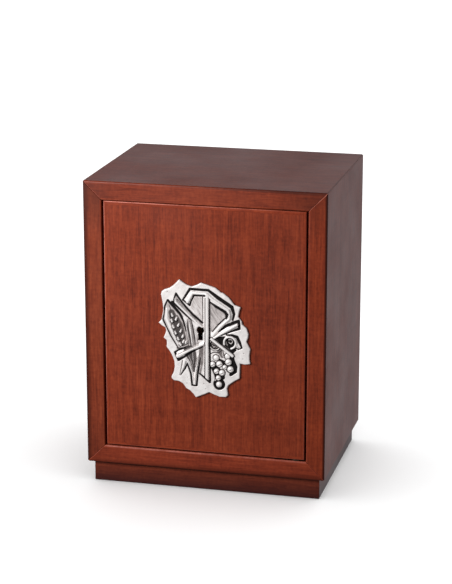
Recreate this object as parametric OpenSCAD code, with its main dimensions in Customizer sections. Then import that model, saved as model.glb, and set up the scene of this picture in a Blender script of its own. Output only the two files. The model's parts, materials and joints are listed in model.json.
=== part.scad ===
// Tabernacle box: a mitred veneered cabinet on a plinth, with one lockable door.
// Origin: middle of the footprint on the standing surface. +Z is up, the door faces -Y.

/* [Cabinet] */
// Outside width of the carcass
body_w = 250; // [220:1:300]
// Outside height of the carcass, without the plinth
body_h = 298; // [270:1:360]
// Outside depth of the carcass, without the medallion
body_d = 195; // [170:1:260]
// Thickness of the carcass boards and the door
board_t = 19; // [18:1:22]
// Radius of the outer front arris
outer_arris = 1.5; // [0.5:0.5:3]
// Radius of the inner front arris
inner_arris = 1; // [0.5:0.5:2]

/* [Back and lining] */
// Thickness of the back panel
back_t = 10; // [6:1:12]
// How far the back panel sits in from the rear edges
back_recess = 1; // [0:0.5:3]
// Thickness of the lining sheets
lining_t = 2; // [1:0.5:3]

/* [Plinth] */
// Height of the plinth
plinth_h = 22; // [15:1:40]
// Thickness of the plinth rails
rail_t = 14; // [12:1:18]
// Set-back of the plinth at the front and the sides
plinth_inset = 6; // [3:1:10]
// Set-back of the plinth at the rear
plinth_rear_inset = 5; // [3:1:10]
// Distance of the anchor holes from each other along X
anchor_x = 176; // [150:1:180]
// Distance of the anchor holes from each other along Y
anchor_y = 116; // [100:1:120]
// Radius of the anchor holes
anchor_r = 3.5; // [2.5:0.5:4]

/* [Door] */
// Gap at the free (left) edge of the door
gap_left = 2.5; // [2:0.1:3]
// Gap at the hinged (right) edge of the door
gap_right = 2; // [2:0.1:3]
// Gap above the door
gap_top = 1.2; // [1:0.1:2]
// Gap below the door
gap_bottom = 1.8; // [1.5:0.1:2.5]
// Thickness of the solid wood lipping round the door
lipping = 3; // [2:0.5:5]

/* [Medallion and keyhole] */
// Thickness of the medallion's plate
plate_t = 2.8; // [2:0.1:4]
// Height of the raised symbols above the plate
relief_h = 4.2; // [2:0.1:4.2]
// Height of the key's axis above the standing surface
key_z = 173; // [150:1:200]
// Radius of the round head of the keyhole
key_head_r = 3.85; // [3:0.05:4.5]
// Width of the keyhole's slot
key_slot_w = 5; // [4.8:0.1:6]
// Reach of the keyhole's slot below the key's axis
key_drop = 10.7; // [8:0.1:12]

/* [Lock] */
// Gear module of the pinion and the racks
gear_m = 1.25; // [1:0.25:1.5]
// Number of pinion teeth, an even number
teeth = 12; // [12:2:14]
// Play between meshing teeth
backlash = 0.3; // [0.2:0.05:0.4]
// Width of the lock rods
rod_w = 8; // [6:1:10]
// Thickness of the lock rods
rod_t = 4; // [3:0.5:4]

/* [Pivot hinge] */
// Distance of the pivot from the door's hinged edge
pivot_in = 9; // [8:0.5:9]
// Distance of the pivot from the door's front face
pivot_back = 5.5; // [5:0.5:6]
// Radius of the pivot pins
pin_r = 2; // [1.5:0.1:2.2]
// Radial play between pin and bush
pin_play = 0.05; // [0.02:0.01:0.1]
// Outer radius of the bushes
bush_r = 3.5; // [3:0.1:3.5]

/* [Hidden] */
$fn = 48;
medal_depth = plate_t + relief_h;
y_front = -(body_d - medal_depth) / 2;
y_rear = y_front + body_d;
half_w = body_w / 2;
z_low = plinth_h;
z_high = plinth_h + body_h;
in_x = half_w - board_t;
in_low = z_low + board_t;
in_high = z_high - board_t;
lip_t = 10;
back_front = y_rear - back_recess - back_t;
back_play = 0.2;

plinth_x = half_w - plinth_inset;
plinth_front_y = y_front + plinth_inset;
plinth_rear_y = y_rear - plinth_rear_inset;
plinth_mid_y = (plinth_front_y + plinth_rear_y) / 2;
block_x = 34;
block_y = 40;

door_x0 = -in_x + gap_left;
door_x1 = in_x - gap_right;
door_z0 = in_low + gap_bottom;
door_z1 = in_high - gap_top;
door_rear = y_front + board_t;
stop_gap = 0.3;
stop_depth = 9.7;
stop_w = 8;
lining_front = y_front + 36;

pivot_x = door_x1 - pivot_in;
pivot_y = y_front + pivot_back;
plate_reach = 23;
plate_front = 3.5;
plate_w = 12;
plate_h = 2.5;
frame_plate_l = 32;
bush_plate_l = 30;
plate_screws = [5, 14];
pin_reach = 11;
bush_depth = 12;
washer_r = 5;

key_x = -3;
medal_z = 150;
studs = [[-38, 180], [38, 160], [-12, 113]];
stud_r = 2;

pitch_r = gear_m * teeth / 2;
rack_pitch = PI * gear_m;
rack_addendum = 0.7 * gear_m;
rack_dedendum = gear_m;
pinion_tip_r = pitch_r + 0.8 * gear_m;
pinion_root_r = pitch_r - 0.95 * gear_m;
pressure_angle = 20;
base_r = pitch_r * cos(pressure_angle);
rod_gap = 0.5;
rod_centre = pitch_r + rack_dedendum + rod_w / 2;
rod_y0 = door_rear + 6;
upper_rod_x = key_x - rod_centre;
lower_rod_x = key_x + rod_centre;
upper_rod_low = key_z - 19;
lower_rod_high = key_z + 19;
rod_inset = 0.5;
bolt_depth = 12.5;

case_w = 56;
case_h = 64;
case_wall = 2;
case_depth = 12.5;
cover_t = 1.5;
case_play = 0.4;
disc_r = 12;
journal_r = 3;
case_corners = [for (sx = [-1, 1], sz = [-1, 1])
    [key_x + sx * (case_w / 2 - 4), key_z + sz * (case_h / 2 - 4)]];

strike = [28, 14, 1.5];
strike_screw_x = 10.5;
guide = [24, 10];
guide_bridge = [12, 12];
upper_guides = [232, 284];
lower_guides = [104, 58];
guide_screw_x = 9;
guide_foot = 2;

back_screws_x = 55;
back_screws_z = 80;
biscuit_ys = [-40, 45];
cutter = 0.5;

wood = [0.42, 0.17, 0.11];
wood_dark = [0.30, 0.11, 0.08];
satin_ivory = [0.90, 0.86, 0.74];
silver = [0.80, 0.79, 0.77];
steel = [0.62, 0.63, 0.65];
gold_brass = [0.78, 0.62, 0.30];
pale_wood = [0.78, 0.66, 0.48];

// ---- helpers ----

// Extrudes a 2D shape drawn in X and Z from y0 to y1
module xz_prism(y0, y1) {
    translate([0, y1, 0])
        rotate([90, 0, 0])
            linear_extrude(y1 - y0)
                children();
}

// Extrudes a 2D shape drawn in Y and Z from x0 to x1
module yz_prism(x0, x1) {
    translate([x0, 0, 0])
        rotate([90, 0, 90])
            linear_extrude(x1 - x0)
                children();
}

// A box given by its lowest and highest corners
module block(low, high) {
    translate(low)
        cube(high - low);
}

// A cylinder along Y from y0 to y1
module y_rod(x, z, r, y0, y1) {
    translate([x, y1, z])
        rotate([90, 0, 0])
            cylinder(r = r, h = y1 - y0);
}

// A straight bar of width w between two points of the XZ plane
module bar(p, q, w) {
    d = q - p;
    translate(p)
        rotate(atan2(d[1], d[0]))
            translate([0, -w / 2])
                square([norm(d), w]);
}

// Countersunk screw: head face at the origin, shank towards -Z
module csk_screw(shank_r, head_r, len) {
    head_h = head_r - shank_r;
    rotate_extrude()
        polygon([[0, 0], [head_r, 0], [shank_r, -head_h], [shank_r, -len + shank_r],
            [0.3, -len], [0, -len]]);
}

// The hole for a countersunk screw, with its head face at the origin
module csk_hole(shank_r, head_r, len) {
    head_h = head_r - shank_r;
    rotate_extrude()
        polygon([[0, cutter], [head_r, cutter], [head_r, 0], [shank_r, -head_h],
            [shank_r, -len], [0, -len]]);
}

// Slotted pan-head screw: head on the origin plane, shank towards -Z
module pan_screw(shank_r, head_r, head_h, len) {
    difference() {
        rotate_extrude()
            polygon([[0, head_h], [head_r - 0.4, head_h], [head_r, head_h - 0.4], [head_r, 0],
                [shank_r, 0], [shank_r, -len + shank_r], [0.3, -len], [0, -len]]);
        translate([-head_r, -0.3, head_h - 0.4])
            cube([2 * head_r, 0.6, 1]);
    }
}

// ---- carcass ----

// Cross-section of a carcass board: Y across, outer face at zero, thickness downwards
module board_section() {
    outer = [for (i = [0:4]) [y_front + outer_arris * (1 - sin(22.5 * i)),
        -outer_arris * (1 - cos(22.5 * i))]];
    inner = [for (i = [0:4]) [y_front + inner_arris * (1 - cos(22.5 * i)),
        -board_t + inner_arris * (1 - sin(22.5 * i))]];
    polygon(concat(outer, inner,
        [[back_front, -board_t], [back_front, -lip_t], [y_rear, -lip_t], [y_rear, 0]]));
}

// A board mitred at both ends, lying with its outer face up at z = 0
module mitred_board(half) {
    intersection() {
        xz_prism(y_front, y_rear)
            polygon([[-half, 0], [half, 0], [half - board_t, -board_t], [board_t - half, -board_t]]);
        yz_prism(-half, half)
            board_section();
    }
}

// Lens-shaped biscuits across the four mitres, grown by a clearance
module biscuits(clear) {
    half_l = 23.5 + clear;
    half_b = 7.5 + clear;
    r = (half_l * half_l + half_b * half_b) / (2 * half_b);
    for (sx = [-1, 1], sz = [-1, 1], y = biscuit_ys)
        translate([sx * (in_x + 7), y, (in_low + in_high) / 2 + sz * ((in_high - in_low) / 2 + 7)])
            rotate([0, 45 * sx * sz, 0])
                intersection() {
                    translate([r - half_b, 0, -2 - clear])
                        cylinder(r = r, h = 4 + 2 * clear, $fn = 128);
                    translate([half_b - r, 0, -2 - clear])
                        cylinder(r = r, h = 4 + 2 * clear, $fn = 128);
                }
}

// The slab of a pivot plate or bush plate: length l, from z0 to z1, grown sideways
module plate_slab(l, z0, z1, grow = 0) {
    x0 = pivot_x - plate_reach;
    y0 = pivot_y - plate_front;
    block([x0 - grow, y0 - grow, z0], [x0 + l + grow, y0 + plate_w + grow, z1]);
}

// Pocket in a board for a pivot plate; side is +1 above the door, -1 below
module pivot_pocket(side) {
    if (side > 0)
        plate_slab(frame_plate_l, in_high - cutter, in_high + plate_h);
    else
        plate_slab(frame_plate_l, in_low - plate_h, in_low + cutter);
}

// Pocket in a board for a strike plate and the rod's socket behind it
module strike_pocket(side, x) {
    z = side > 0 ? in_high : in_low;
    y = rod_y0 + rod_t / 2;
    block([x - strike[0] / 2, y - strike[1] / 2, side > 0 ? z - cutter : z - strike[2]],
        [x + strike[0] / 2, y + strike[1] / 2, side > 0 ? z + strike[2] : z + cutter]);
    block([x - rod_w / 2 - 1, y - rod_t / 2 - 1, side > 0 ? z : z - bolt_depth],
        [x + rod_w / 2 + 1, y + rod_t / 2 + 1, side > 0 ? z + bolt_depth : z]);
}

// Anchor holes from z0 to z1
module anchor_holes(z0, z1) {
    for (sx = [-1, 1], sy = [-1, 1])
        translate([sx * anchor_x / 2, plinth_mid_y + sy * anchor_y / 2, z0])
            cylinder(r = anchor_r, h = z1 - z0);
}

module top_panel() {
    color(wood)
        difference() {
            translate([0, 0, z_high])
                mitred_board(half_w);
            biscuits(0.1);
            pivot_pocket(1);
            strike_pocket(1, upper_rod_x);
        }
}

module bottom_panel() {
    color(wood)
        difference() {
            translate([0, 0, z_low])
                mirror([0, 0, 1])
                    mitred_board(half_w);
            biscuits(0.1);
            pivot_pocket(-1);
            strike_pocket(-1, lower_rod_x);
            anchor_holes(z_low - 1, in_low + 1);
        }
}

module side_panel(side) {
    color(wood)
        difference() {
            translate([side * half_w, 0, (z_low + z_high) / 2])
                rotate([0, 90 * side, 0])
                    mitred_board(body_h / 2);
            biscuits(0.1);
        }
}

module left_side_panel() {
    side_panel(-1);
}

module right_side_panel() {
    side_panel(1);
}

module mitre_biscuits() {
    color(pale_wood)
        biscuits(0);
}

// Places its children at each back panel screw, with -Z pointing into the cabinet
module at_back_screws() {
    edge_x = in_x + 4.5;
    edge_z = (in_high - in_low) / 2 + 4.5;
    mid_z = (in_low + in_high) / 2;
    spots = concat([for (sx = [-1, 1], sz = [-1, 1]) [sx * back_screws_x, sz * edge_z]],
        [for (sx = [-1, 1], sz = [-1, 1]) [sx * edge_x, sz * back_screws_z]]);
    for (p = spots)
        translate([p[0], y_rear - back_recess, mid_z + p[1]])
            rotate([-90, 0, 0])
                children();
}

module back_panel() {
    reach = board_t - lip_t - back_play;
    color(wood_dark)
        difference() {
            block([-in_x - reach, back_front, in_low - reach],
                [in_x + reach, y_rear - back_recess, in_high + reach]);
            at_back_screws()
                csk_hole(1.9, 3.6, back_t + 1);
        }
}

module back_panel_screws() {
    color(steel)
        at_back_screws()
            csk_screw(1.75, 3.5, 26);
}

// ---- plinth ----

// One mitred rail, drawn along X with its outer face at y = 0 and its back towards +Y
module plinth_rail(half) {
    linear_extrude(plinth_h)
        polygon([[-half, 0], [half, 0], [half - rail_t, rail_t], [rail_t - half, rail_t]]);
}

module plinth_front_rail() {
    color(wood)
        translate([0, plinth_front_y, 0])
            plinth_rail(plinth_x);
}

module plinth_rear_rail() {
    color(wood)
        translate([0, plinth_rear_y, 0])
            rotate(180)
                plinth_rail(plinth_x);
}

module plinth_left_rail() {
    color(wood)
        translate([-plinth_x, plinth_mid_y, 0])
            rotate(-90)
                plinth_rail((plinth_rear_y - plinth_front_y) / 2);
}

module plinth_right_rail() {
    color(wood)
        translate([plinth_x, plinth_mid_y, 0])
            rotate(90)
                plinth_rail((plinth_rear_y - plinth_front_y) / 2);
}

// Places its children at each plinth screw: two in each corner block
module at_plinth_screws() {
    for (sx = [-1, 1], sy = [-1, 1], k = [-1, 1])
        translate([sx * (anchor_x / 2 + 10 * k), plinth_mid_y + sy * (anchor_y / 2 + 11 * k), 8])
            rotate([180, 0, 0])
                children();
}

module plinth_corner_blocks() {
    x1 = plinth_x - rail_t;
    y1 = (plinth_rear_y - plinth_front_y) / 2 - rail_t;
    color(pale_wood)
        difference() {
            for (sx = [-1, 1], sy = [-1, 1])
                translate([sx * (x1 - block_x / 2), plinth_mid_y + sy * (y1 - block_y / 2), plinth_h / 2])
                    cube([block_x, block_y, plinth_h], center = true);
            anchor_holes(-1, plinth_h + 1);
            at_plinth_screws() {
                csk_hole(2.1, 4.2, 20);
                cylinder(r = 4.2, h = 10);
            }
        }
}

module plinth_screws() {
    color(steel)
        at_plinth_screws()
            csk_screw(2, 4, 28);
}

// ---- interior ----

// A sheet between the wall linings, with its underside at z
module lining_sheet(z) {
    block([-in_x + lining_t, lining_front, z], [in_x - lining_t, back_front - lining_t, z + lining_t]);
}

module floor_lining() {
    color(satin_ivory)
        difference() {
            lining_sheet(in_low);
            anchor_holes(in_low - 1, in_low + lining_t + 1);
        }
}

module ceiling_lining() {
    color(satin_ivory)
        lining_sheet(in_high - lining_t);
}

module side_lining(x0) {
    color(satin_ivory)
        block([x0, lining_front, in_low], [x0 + lining_t, back_front, in_high]);
}

module left_lining() {
    side_lining(-in_x);
}

module right_lining() {
    side_lining(in_x - lining_t);
}

module back_lining() {
    color(satin_ivory)
        block([-in_x + lining_t, back_front - lining_t, in_low], [in_x - lining_t, back_front, in_high]);
}

module door_stop() {
    color(wood_dark)
        block([-in_x, door_rear + stop_gap, in_low], [-in_x + stop_w, door_rear + stop_gap + stop_depth, in_high]);
}

// ---- pivot hinges ----

// Places its children at the two screws of one pivot plate, in the plate's own plane
module at_plate_screws() {
    for (x = plate_screws)
        translate([pivot_x - plate_reach + x, pivot_y - plate_front + plate_w / 2, 0])
            children();
}

// Plate drawn with its visible face at z = 0 and its body towards +Z, bored at the pivot
module pivot_plate_blank(hole_r) {
    difference() {
        plate_slab(frame_plate_l, 0, plate_h);
        at_plate_screws()
            rotate([180, 0, 0])
                csk_hole(1.6, 3.1, plate_h + 1);
        translate([pivot_x, pivot_y, -1])
            cylinder(r = hole_r, h = plate_h + 2);
    }
}

module upper_pivot_plate() {
    color(gold_brass)
        translate([0, 0, in_high])
            pivot_plate_blank(pin_r);
}

module lower_pivot_plate() {
    color(gold_brass)
        translate([0, 0, in_low])
            mirror([0, 0, 1])
                pivot_plate_blank(pin_r);
}

module upper_pivot_pin() {
    color(steel)
        translate([pivot_x, pivot_y, door_z1 - pin_reach])
            cylinder(r = pin_r, h = in_high + plate_h - door_z1 + pin_reach);
}

module lower_pivot_pin() {
    color(steel)
        translate([pivot_x, pivot_y, in_low - plate_h])
            cylinder(r = pin_r, h = door_z0 + pin_reach - in_low + plate_h);
}

module thrust_washer() {
    color(gold_brass)
        translate([pivot_x, pivot_y, in_low])
            difference() {
                cylinder(r = washer_r, h = gap_bottom - 0.1);
                translate([0, 0, -1])
                    cylinder(r = pin_r + 0.1, h = gap_bottom + 2);
            }
}

module pivot_plate_screws() {
    color(steel) {
        translate([0, 0, in_high])
            at_plate_screws()
                rotate([180, 0, 0])
                    csk_screw(1.5, 3, 15);
        translate([0, 0, in_low])
            at_plate_screws()
                csk_screw(1.5, 3, 15);
    }
}

// Bush and its plate: the visible face at z = 0, everything else towards +Z
module pivot_bush() {
    difference() {
        union() {
            plate_slab(bush_plate_l, 0, plate_h);
            translate([pivot_x, pivot_y, 0])
                cylinder(r = bush_r, h = bush_depth);
        }
        at_plate_screws()
            rotate([180, 0, 0])
                csk_hole(1.6, 3.1, plate_h + 1);
        translate([pivot_x, pivot_y, -1])
            cylinder(r = pin_r + pin_play, h = bush_depth + 2);
    }
}

// The door's mortise for a bush, grown by a small clearance
module bush_pocket() {
    c = 0.05;
    plate_slab(bush_plate_l, -1, plate_h + c, grow = c);
    translate([pivot_x, pivot_y, -1])
        cylinder(r = bush_r + c, h = bush_depth + 1 + c);
}

module upper_pivot_bush() {
    color(gold_brass)
        translate([0, 0, door_z1])
            mirror([0, 0, 1])
                pivot_bush();
}

module lower_pivot_bush() {
    color(gold_brass)
        translate([0, 0, door_z0])
            pivot_bush();
}

module bush_screws() {
    color(steel) {
        translate([0, 0, door_z1])
            at_plate_screws()
                csk_screw(1.5, 3, 15);
        translate([0, 0, door_z0])
            at_plate_screws()
                rotate([180, 0, 0])
                    csk_screw(1.5, 3, 15);
    }
}

// ---- strikes ----

// Strike plate with its visible face at z = 0 and its body towards +Z
module strike_blank() {
    difference() {
        block([-strike[0] / 2, -strike[1] / 2, 0], [strike[0] / 2, strike[1] / 2, strike[2]]);
        block([-rod_w / 2 - rod_gap, -rod_t / 2 - rod_gap, -1],
            [rod_w / 2 + rod_gap, rod_t / 2 + rod_gap, strike[2] + 1]);
        for (sx = [-1, 1])
            translate([sx * strike_screw_x, 0, 0])
                rotate([180, 0, 0])
                    csk_hole(1.3, 2.5, strike[2] + 1);
    }
}

module upper_strike_plate() {
    color(gold_brass)
        translate([upper_rod_x, rod_y0 + rod_t / 2, in_high])
            strike_blank();
}

module lower_strike_plate() {
    color(gold_brass)
        translate([lower_rod_x, rod_y0 + rod_t / 2, in_low])
            mirror([0, 0, 1])
                strike_blank();
}

module strike_screws() {
    color(steel)
        for (sx = [-1, 1]) {
            translate([upper_rod_x + sx * strike_screw_x, rod_y0 + rod_t / 2, in_high])
                rotate([180, 0, 0])
                    csk_screw(1.2, 2.4, 11);
            translate([lower_rod_x + sx * strike_screw_x, rod_y0 + rod_t / 2, in_low])
                csk_screw(1.2, 2.4, 11);
        }
}

// ---- door ----

// Everything cut out of the door: key passage, stud holes and bush mortises
module door_cuts() {
    xz_prism(y_front - 1, door_rear + 1) {
        translate([key_x, key_z])
            circle(r = key_head_r + 1.6);
        translate([key_x - key_slot_w / 2 - 1, key_z - key_drop - 1])
            square([key_slot_w + 2, key_drop + 1]);
    }
    for (p = studs)
        y_rod(p[0], p[1], stud_r + 0.2, y_front - 1, door_rear + 1);
    translate([0, 0, door_z1])
        mirror([0, 0, 1])
            bush_pocket();
    translate([0, 0, door_z0])
        bush_pocket();
}

module door_panel() {
    color(wood)
        difference() {
            block([door_x0 + lipping, y_front, door_z0 + lipping],
                [door_x1 - lipping, door_rear, door_z1 - lipping]);
            door_cuts();
        }
}

// Lipping along an upright edge of the door
module side_lipping(x0) {
    color(wood)
        difference() {
            block([x0, y_front, door_z0], [x0 + lipping, door_rear, door_z1]);
            door_cuts();
        }
}

// Lipping along the top or the bottom edge of the door
module end_lipping(z0) {
    color(wood)
        difference() {
            block([door_x0 + lipping, y_front, z0], [door_x1 - lipping, door_rear, z0 + lipping]);
            door_cuts();
        }
}

module door_left_lipping() {
    side_lipping(door_x0);
}

module door_right_lipping() {
    side_lipping(door_x1 - lipping);
}

module door_top_lipping() {
    end_lipping(door_z1 - lipping);
}

module door_bottom_lipping() {
    end_lipping(door_z0);
}

// ---- medallion ----

// Ragged outline of the cast plate, seen from the front
module plate_outline() {
    polygon([[-46.5, 28], [-43.5, 31.5], [-41.5, 40.5], [-42, 48], [-44, 57.5], [-43, 61], [-40.5, 63],
        [-35, 65], [-31.5, 67.5], [-28, 71], [-25, 74.5], [-21, 71.5], [-16.5, 69], [-12, 67.5],
        [-6.5, 70], [-2.5, 72.5], [4, 70.5], [12.5, 68], [18.5, 63], [20, 63], [26.5, 58.5],
        [32, 51.5], [38.5, 49.5], [37, 45], [36, 39.5], [39.5, 35], [40, 32], [44.5, 28],
        [46.5, 22], [44.5, 14], [48.5, 6.5], [47.5, 0], [48.5, -9], [43, -10.5], [38, -9.5],
        [37.5, -25], [32.5, -28], [26, -33], [24.5, -36.5], [25.5, -43.5], [23.5, -46], [17, -46],
        [6, -42], [-3.5, -47], [-8, -48.5], [-10, -45.5], [-14, -41.5], [-18, -39.5], [-21.5, -34.5],
        [-25.5, -32.5], [-31, -32], [-33.5, -29], [-31, -23.5], [-30, -14], [-32, -7], [-38.5, 3],
        [-38, 10], [-41.5, 12.5], [-38.5, 20], [-39.5, 23.5]]);
}

// The raised symbols: monogram, wheat leaves and vine tendrils
module relief_shapes() {
    strokes = [[[3, 60.5], [3, -25], 4], [[-16.5, 51], [-10.5, 61.5], 4], [[-11, 61.5], [4, 61.5], 4],
        [[3, 61.5], [26.5, 46], 4], [[26.5, 46.5], [27, 38], 4], [[27.5, 38.5], [9.5, 19], 3.5],
        [[-28.5, 55.5], [0, 28], 4.5], [[9.5, 15], [30, -1], 3], [[-27, -6], [1.5, 9], 4.5],
        [[9.5, 15], [35, 31], 3.5], [[-13.5, 33], [-11, 5], 3], [[-19, -6], [-24, -25], 3],
        [[-16, -3], [-9.5, -34], 3.5], [[-4.5, 0], [-8, -30], 2.5]];
    for (s = strokes)
        bar(s[0], s[1], s[2]);
}

module medallion() {
    face = y_front - plate_t;
    top = face - relief_h;
    grape_r = 3;
    grain_r = 2;
    grains = [[-33.5, 42], [-32, 36.5], [-28, 33], [-32, 30.5], [-25.5, 26.5], [-30.5, 24.5],
        [-23, 20.5], [-28, 18], [-21, 15], [-25.5, 12]];
    grapes = [[13.5, -4.5], [26, -8], [9.5, -12], [17, -10.5], [22.5, -13.5], [28.5, -15.5],
        [14, -18.5], [19.5, -19.5], [16, -25.5], [16.5, -32.5]];
    color(silver)
        difference() {
            union() {
                translate([0, 0, medal_z])
                    xz_prism(face, y_front)
                        plate_outline();
                translate([0, 0, medal_z])
                    xz_prism(top, face + 1)
                        relief_shapes();
                for (g = grains)
                    y_rod(g[0], medal_z + g[1], grain_r, top + 1.6, face + 1);
                for (g = grapes)
                    translate([g[0], face - 0.6, medal_z + g[1]])
                        sphere(r = grape_r);
            }
            keyhole(y_front - medal_depth - 1, y_front + 1);
        }
}

// The keyhole's outline, extruded from y0 to y1
module keyhole(y0, y1) {
    xz_prism(y0, y1) {
        translate([key_x, key_z])
            circle(r = key_head_r);
        translate([key_x - key_slot_w / 2, key_z - key_drop])
            square([key_slot_w, key_drop]);
    }
}

module medallion_studs() {
    color(steel)
        for (p = studs)
            y_rod(p[0], p[1], stud_r, y_front - 1.5, door_rear + 6);
}

module medallion_washers() {
    color(steel)
        for (p = studs)
            difference() {
                y_rod(p[0], p[1], 4.5, door_rear, door_rear + 0.8);
                y_rod(p[0], p[1], stud_r + 0.15, door_rear - 1, door_rear + 2);
            }
}

module medallion_nuts() {
    color(steel)
        for (p = studs)
            difference() {
                translate([p[0], door_rear + 4, p[1]])
                    rotate([90, 0, 0])
                        cylinder(r = 4.04, h = 3.2, $fn = 6);
                y_rod(p[0], p[1], stud_r, door_rear, door_rear + 5);
            }
}

// ---- lock ----

// The involute of a pressure angle, in degrees
function inv(a) = tan(a) * 180 / PI - a;

// Half the angle that a pinion tooth fills at radius r
function flank_angle(r) = 90 / teeth - backlash / 2 / pitch_r * 180 / PI
    + inv(pressure_angle) - inv(acos(min(1, base_r / r)));

// The pinion's outline: involute flanks down to the base circle, then straight to the root
module pinion_outline() {
    steps = 4;
    radii = [for (i = [0:steps]) base_r + (pinion_tip_r - base_r) * i / steps];
    polygon([for (t = [0:teeth - 1], p = concat(
        [[pinion_root_r, -flank_angle(base_r)]],
        [for (r = radii) [r, -flank_angle(r)]],
        [for (i = [steps:-1:0]) [radii[i], flank_angle(radii[i])]],
        [[pinion_root_r, flank_angle(base_r)]]))
        let (a = t * 360 / teeth + p[1]) [p[0] * cos(a), p[0] * sin(a)]]);
}

// Rack teeth in X and Z, with the pitch line on x = 0, pointing towards +X, from tooth k0 to k1
module rack_teeth(k0, k1) {
    slope = tan(pressure_angle);
    half = rack_pitch / 4 - backlash / 4;
    for (k = [k0:k1])
        translate([0, (k + 0.5) * rack_pitch])
            polygon([[-rack_dedendum - cutter, half + slope * (rack_dedendum + cutter)],
                [rack_addendum, half - slope * rack_addendum],
                [rack_addendum, -half + slope * rack_addendum],
                [-rack_dedendum - cutter, -half - slope * (rack_dedendum + cutter)]]);
}

module lock_case() {
    x0 = key_x - case_w / 2;
    x1 = key_x + case_w / 2;
    z0 = key_z - case_h / 2;
    z1 = key_z + case_h / 2;
    floor_y = door_rear + case_wall;
    rear_y = door_rear + case_depth;
    slot_y0 = rod_y0 - case_play;
    slot_y1 = rod_y0 + rod_t + case_play;
    slot_half = rod_w / 2 + case_play;
    color(steel)
        difference() {
            union() {
                difference() {
                    block([x0, door_rear, z0], [x1, rear_y, z1]);
                    block([x0 + case_wall, floor_y, z0 + case_wall],
                        [x1 - case_wall, rear_y + 1, z1 - case_wall]);
                }
                for (p = case_corners)
                    y_rod(p[0], p[1], 3.2, floor_y - 1, rear_y);
            }
            y_rod(key_x, key_z, disc_r + pin_play, door_rear - 1, floor_y + 1);
            for (p = case_corners)
                y_rod(p[0], p[1], 1.7, door_rear - 1, rear_y + 1);
            block([upper_rod_x - slot_half, slot_y0, z1 - case_wall - 1],
                [upper_rod_x + slot_half, slot_y1, z1 + 1]);
            block([lower_rod_x - slot_half, slot_y0, z0 - 1],
                [lower_rod_x + slot_half, slot_y1, z0 + case_wall + 1]);
        }
}

module lock_cover() {
    y0 = door_rear + case_depth;
    color(steel)
        difference() {
            block([key_x - case_w / 2, y0, key_z - case_h / 2],
                [key_x + case_w / 2, y0 + cover_t, key_z + case_h / 2]);
            y_rod(key_x, key_z, journal_r + pin_play, y0 - 1, y0 + cover_t + 1);
            for (p = case_corners)
                y_rod(p[0], p[1], 1.7, y0 - 1, y0 + cover_t + 1);
        }
}

module lock_screws() {
    color(gold_brass)
        for (p = case_corners)
            translate([p[0], door_rear + case_depth + cover_t, p[1]])
                rotate([-90, 0, 0])
                    pan_screw(1.5, 3, 1.2, 28);
}

module key_rotor() {
    front = door_rear + 0.1;
    disc_rear = rod_y0 - 1;
    gear_rear = rod_y0 + rod_t + 0.7;
    cover_rear = door_rear + case_depth + cover_t;
    color(gold_brass)
        difference() {
            union() {
                y_rod(key_x, key_z, disc_r, front, disc_rear);
                translate([key_x, 0, key_z])
                    xz_prism(disc_rear - 0.5, gear_rear)
                        pinion_outline();
                y_rod(key_x, key_z, 5, gear_rear - 0.5, cover_rear - cover_t - 0.2);
                y_rod(key_x, key_z, journal_r, gear_rear, cover_rear);
            }
            xz_prism(front - 1, front + 3.9) {
                translate([key_x, key_z])
                    circle(r = key_head_r - 0.25);
                translate([key_x - key_slot_w / 2 + 0.1, key_z - key_drop + 0.2])
                    square([key_slot_w - 0.2, key_drop - 0.2]);
            }
        }
}

module upper_rod() {
    color(steel)
        union() {
            block([upper_rod_x - rod_w / 2, rod_y0, upper_rod_low],
                [upper_rod_x + rod_w / 2, rod_y0 + rod_t, door_z1 - rod_inset]);
            translate([key_x - pitch_r, 0, key_z])
                xz_prism(rod_y0, rod_y0 + rod_t)
                    rack_teeth(-5, 1);
        }
}

module lower_rod() {
    color(steel)
        union() {
            block([lower_rod_x - rod_w / 2, rod_y0, door_z0 + rod_inset],
                [lower_rod_x + rod_w / 2, rod_y0 + rod_t, lower_rod_high]);
            translate([key_x + pitch_r, 0, key_z])
                xz_prism(rod_y0, rod_y0 + rod_t)
                    mirror([1, 0])
                        rack_teeth(-2, 4);
        }
}

// Places its children at each rod guide: X and Z of the rod's middle
module at_guides() {
    for (z = upper_guides)
        translate([upper_rod_x, 0, z])
            children();
    for (z = lower_guides)
        translate([lower_rod_x, 0, z])
            children();
}

module rod_guides() {
    bridge_x = guide_bridge[0] / 2;
    color(steel)
        at_guides()
            difference() {
                union() {
                    block([-guide[0] / 2, door_rear, -guide[1] / 2],
                        [guide[0] / 2, door_rear + guide_foot, guide[1] / 2]);
                    block([-bridge_x, door_rear, -guide[1] / 2],
                        [bridge_x, door_rear + guide_bridge[1], guide[1] / 2]);
                }
                block([-rod_w / 2 - 0.3, rod_y0 - 0.3, -guide[1]],
                    [rod_w / 2 + 0.3, rod_y0 + rod_t + 0.3, guide[1]]);
                for (sx = [-1, 1])
                    y_rod(sx * guide_screw_x, 0, 1.6, door_rear - 1, door_rear + guide_foot + 1);
            }
}

module guide_screws() {
    color(gold_brass)
        at_guides()
            for (sx = [-1, 1])
                translate([sx * guide_screw_x, door_rear + guide_foot, 0])
                    rotate([-90, 0, 0])
                        pan_screw(1.4, 2.6, 1.1, 13);
}

// ---- assembly ----

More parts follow.
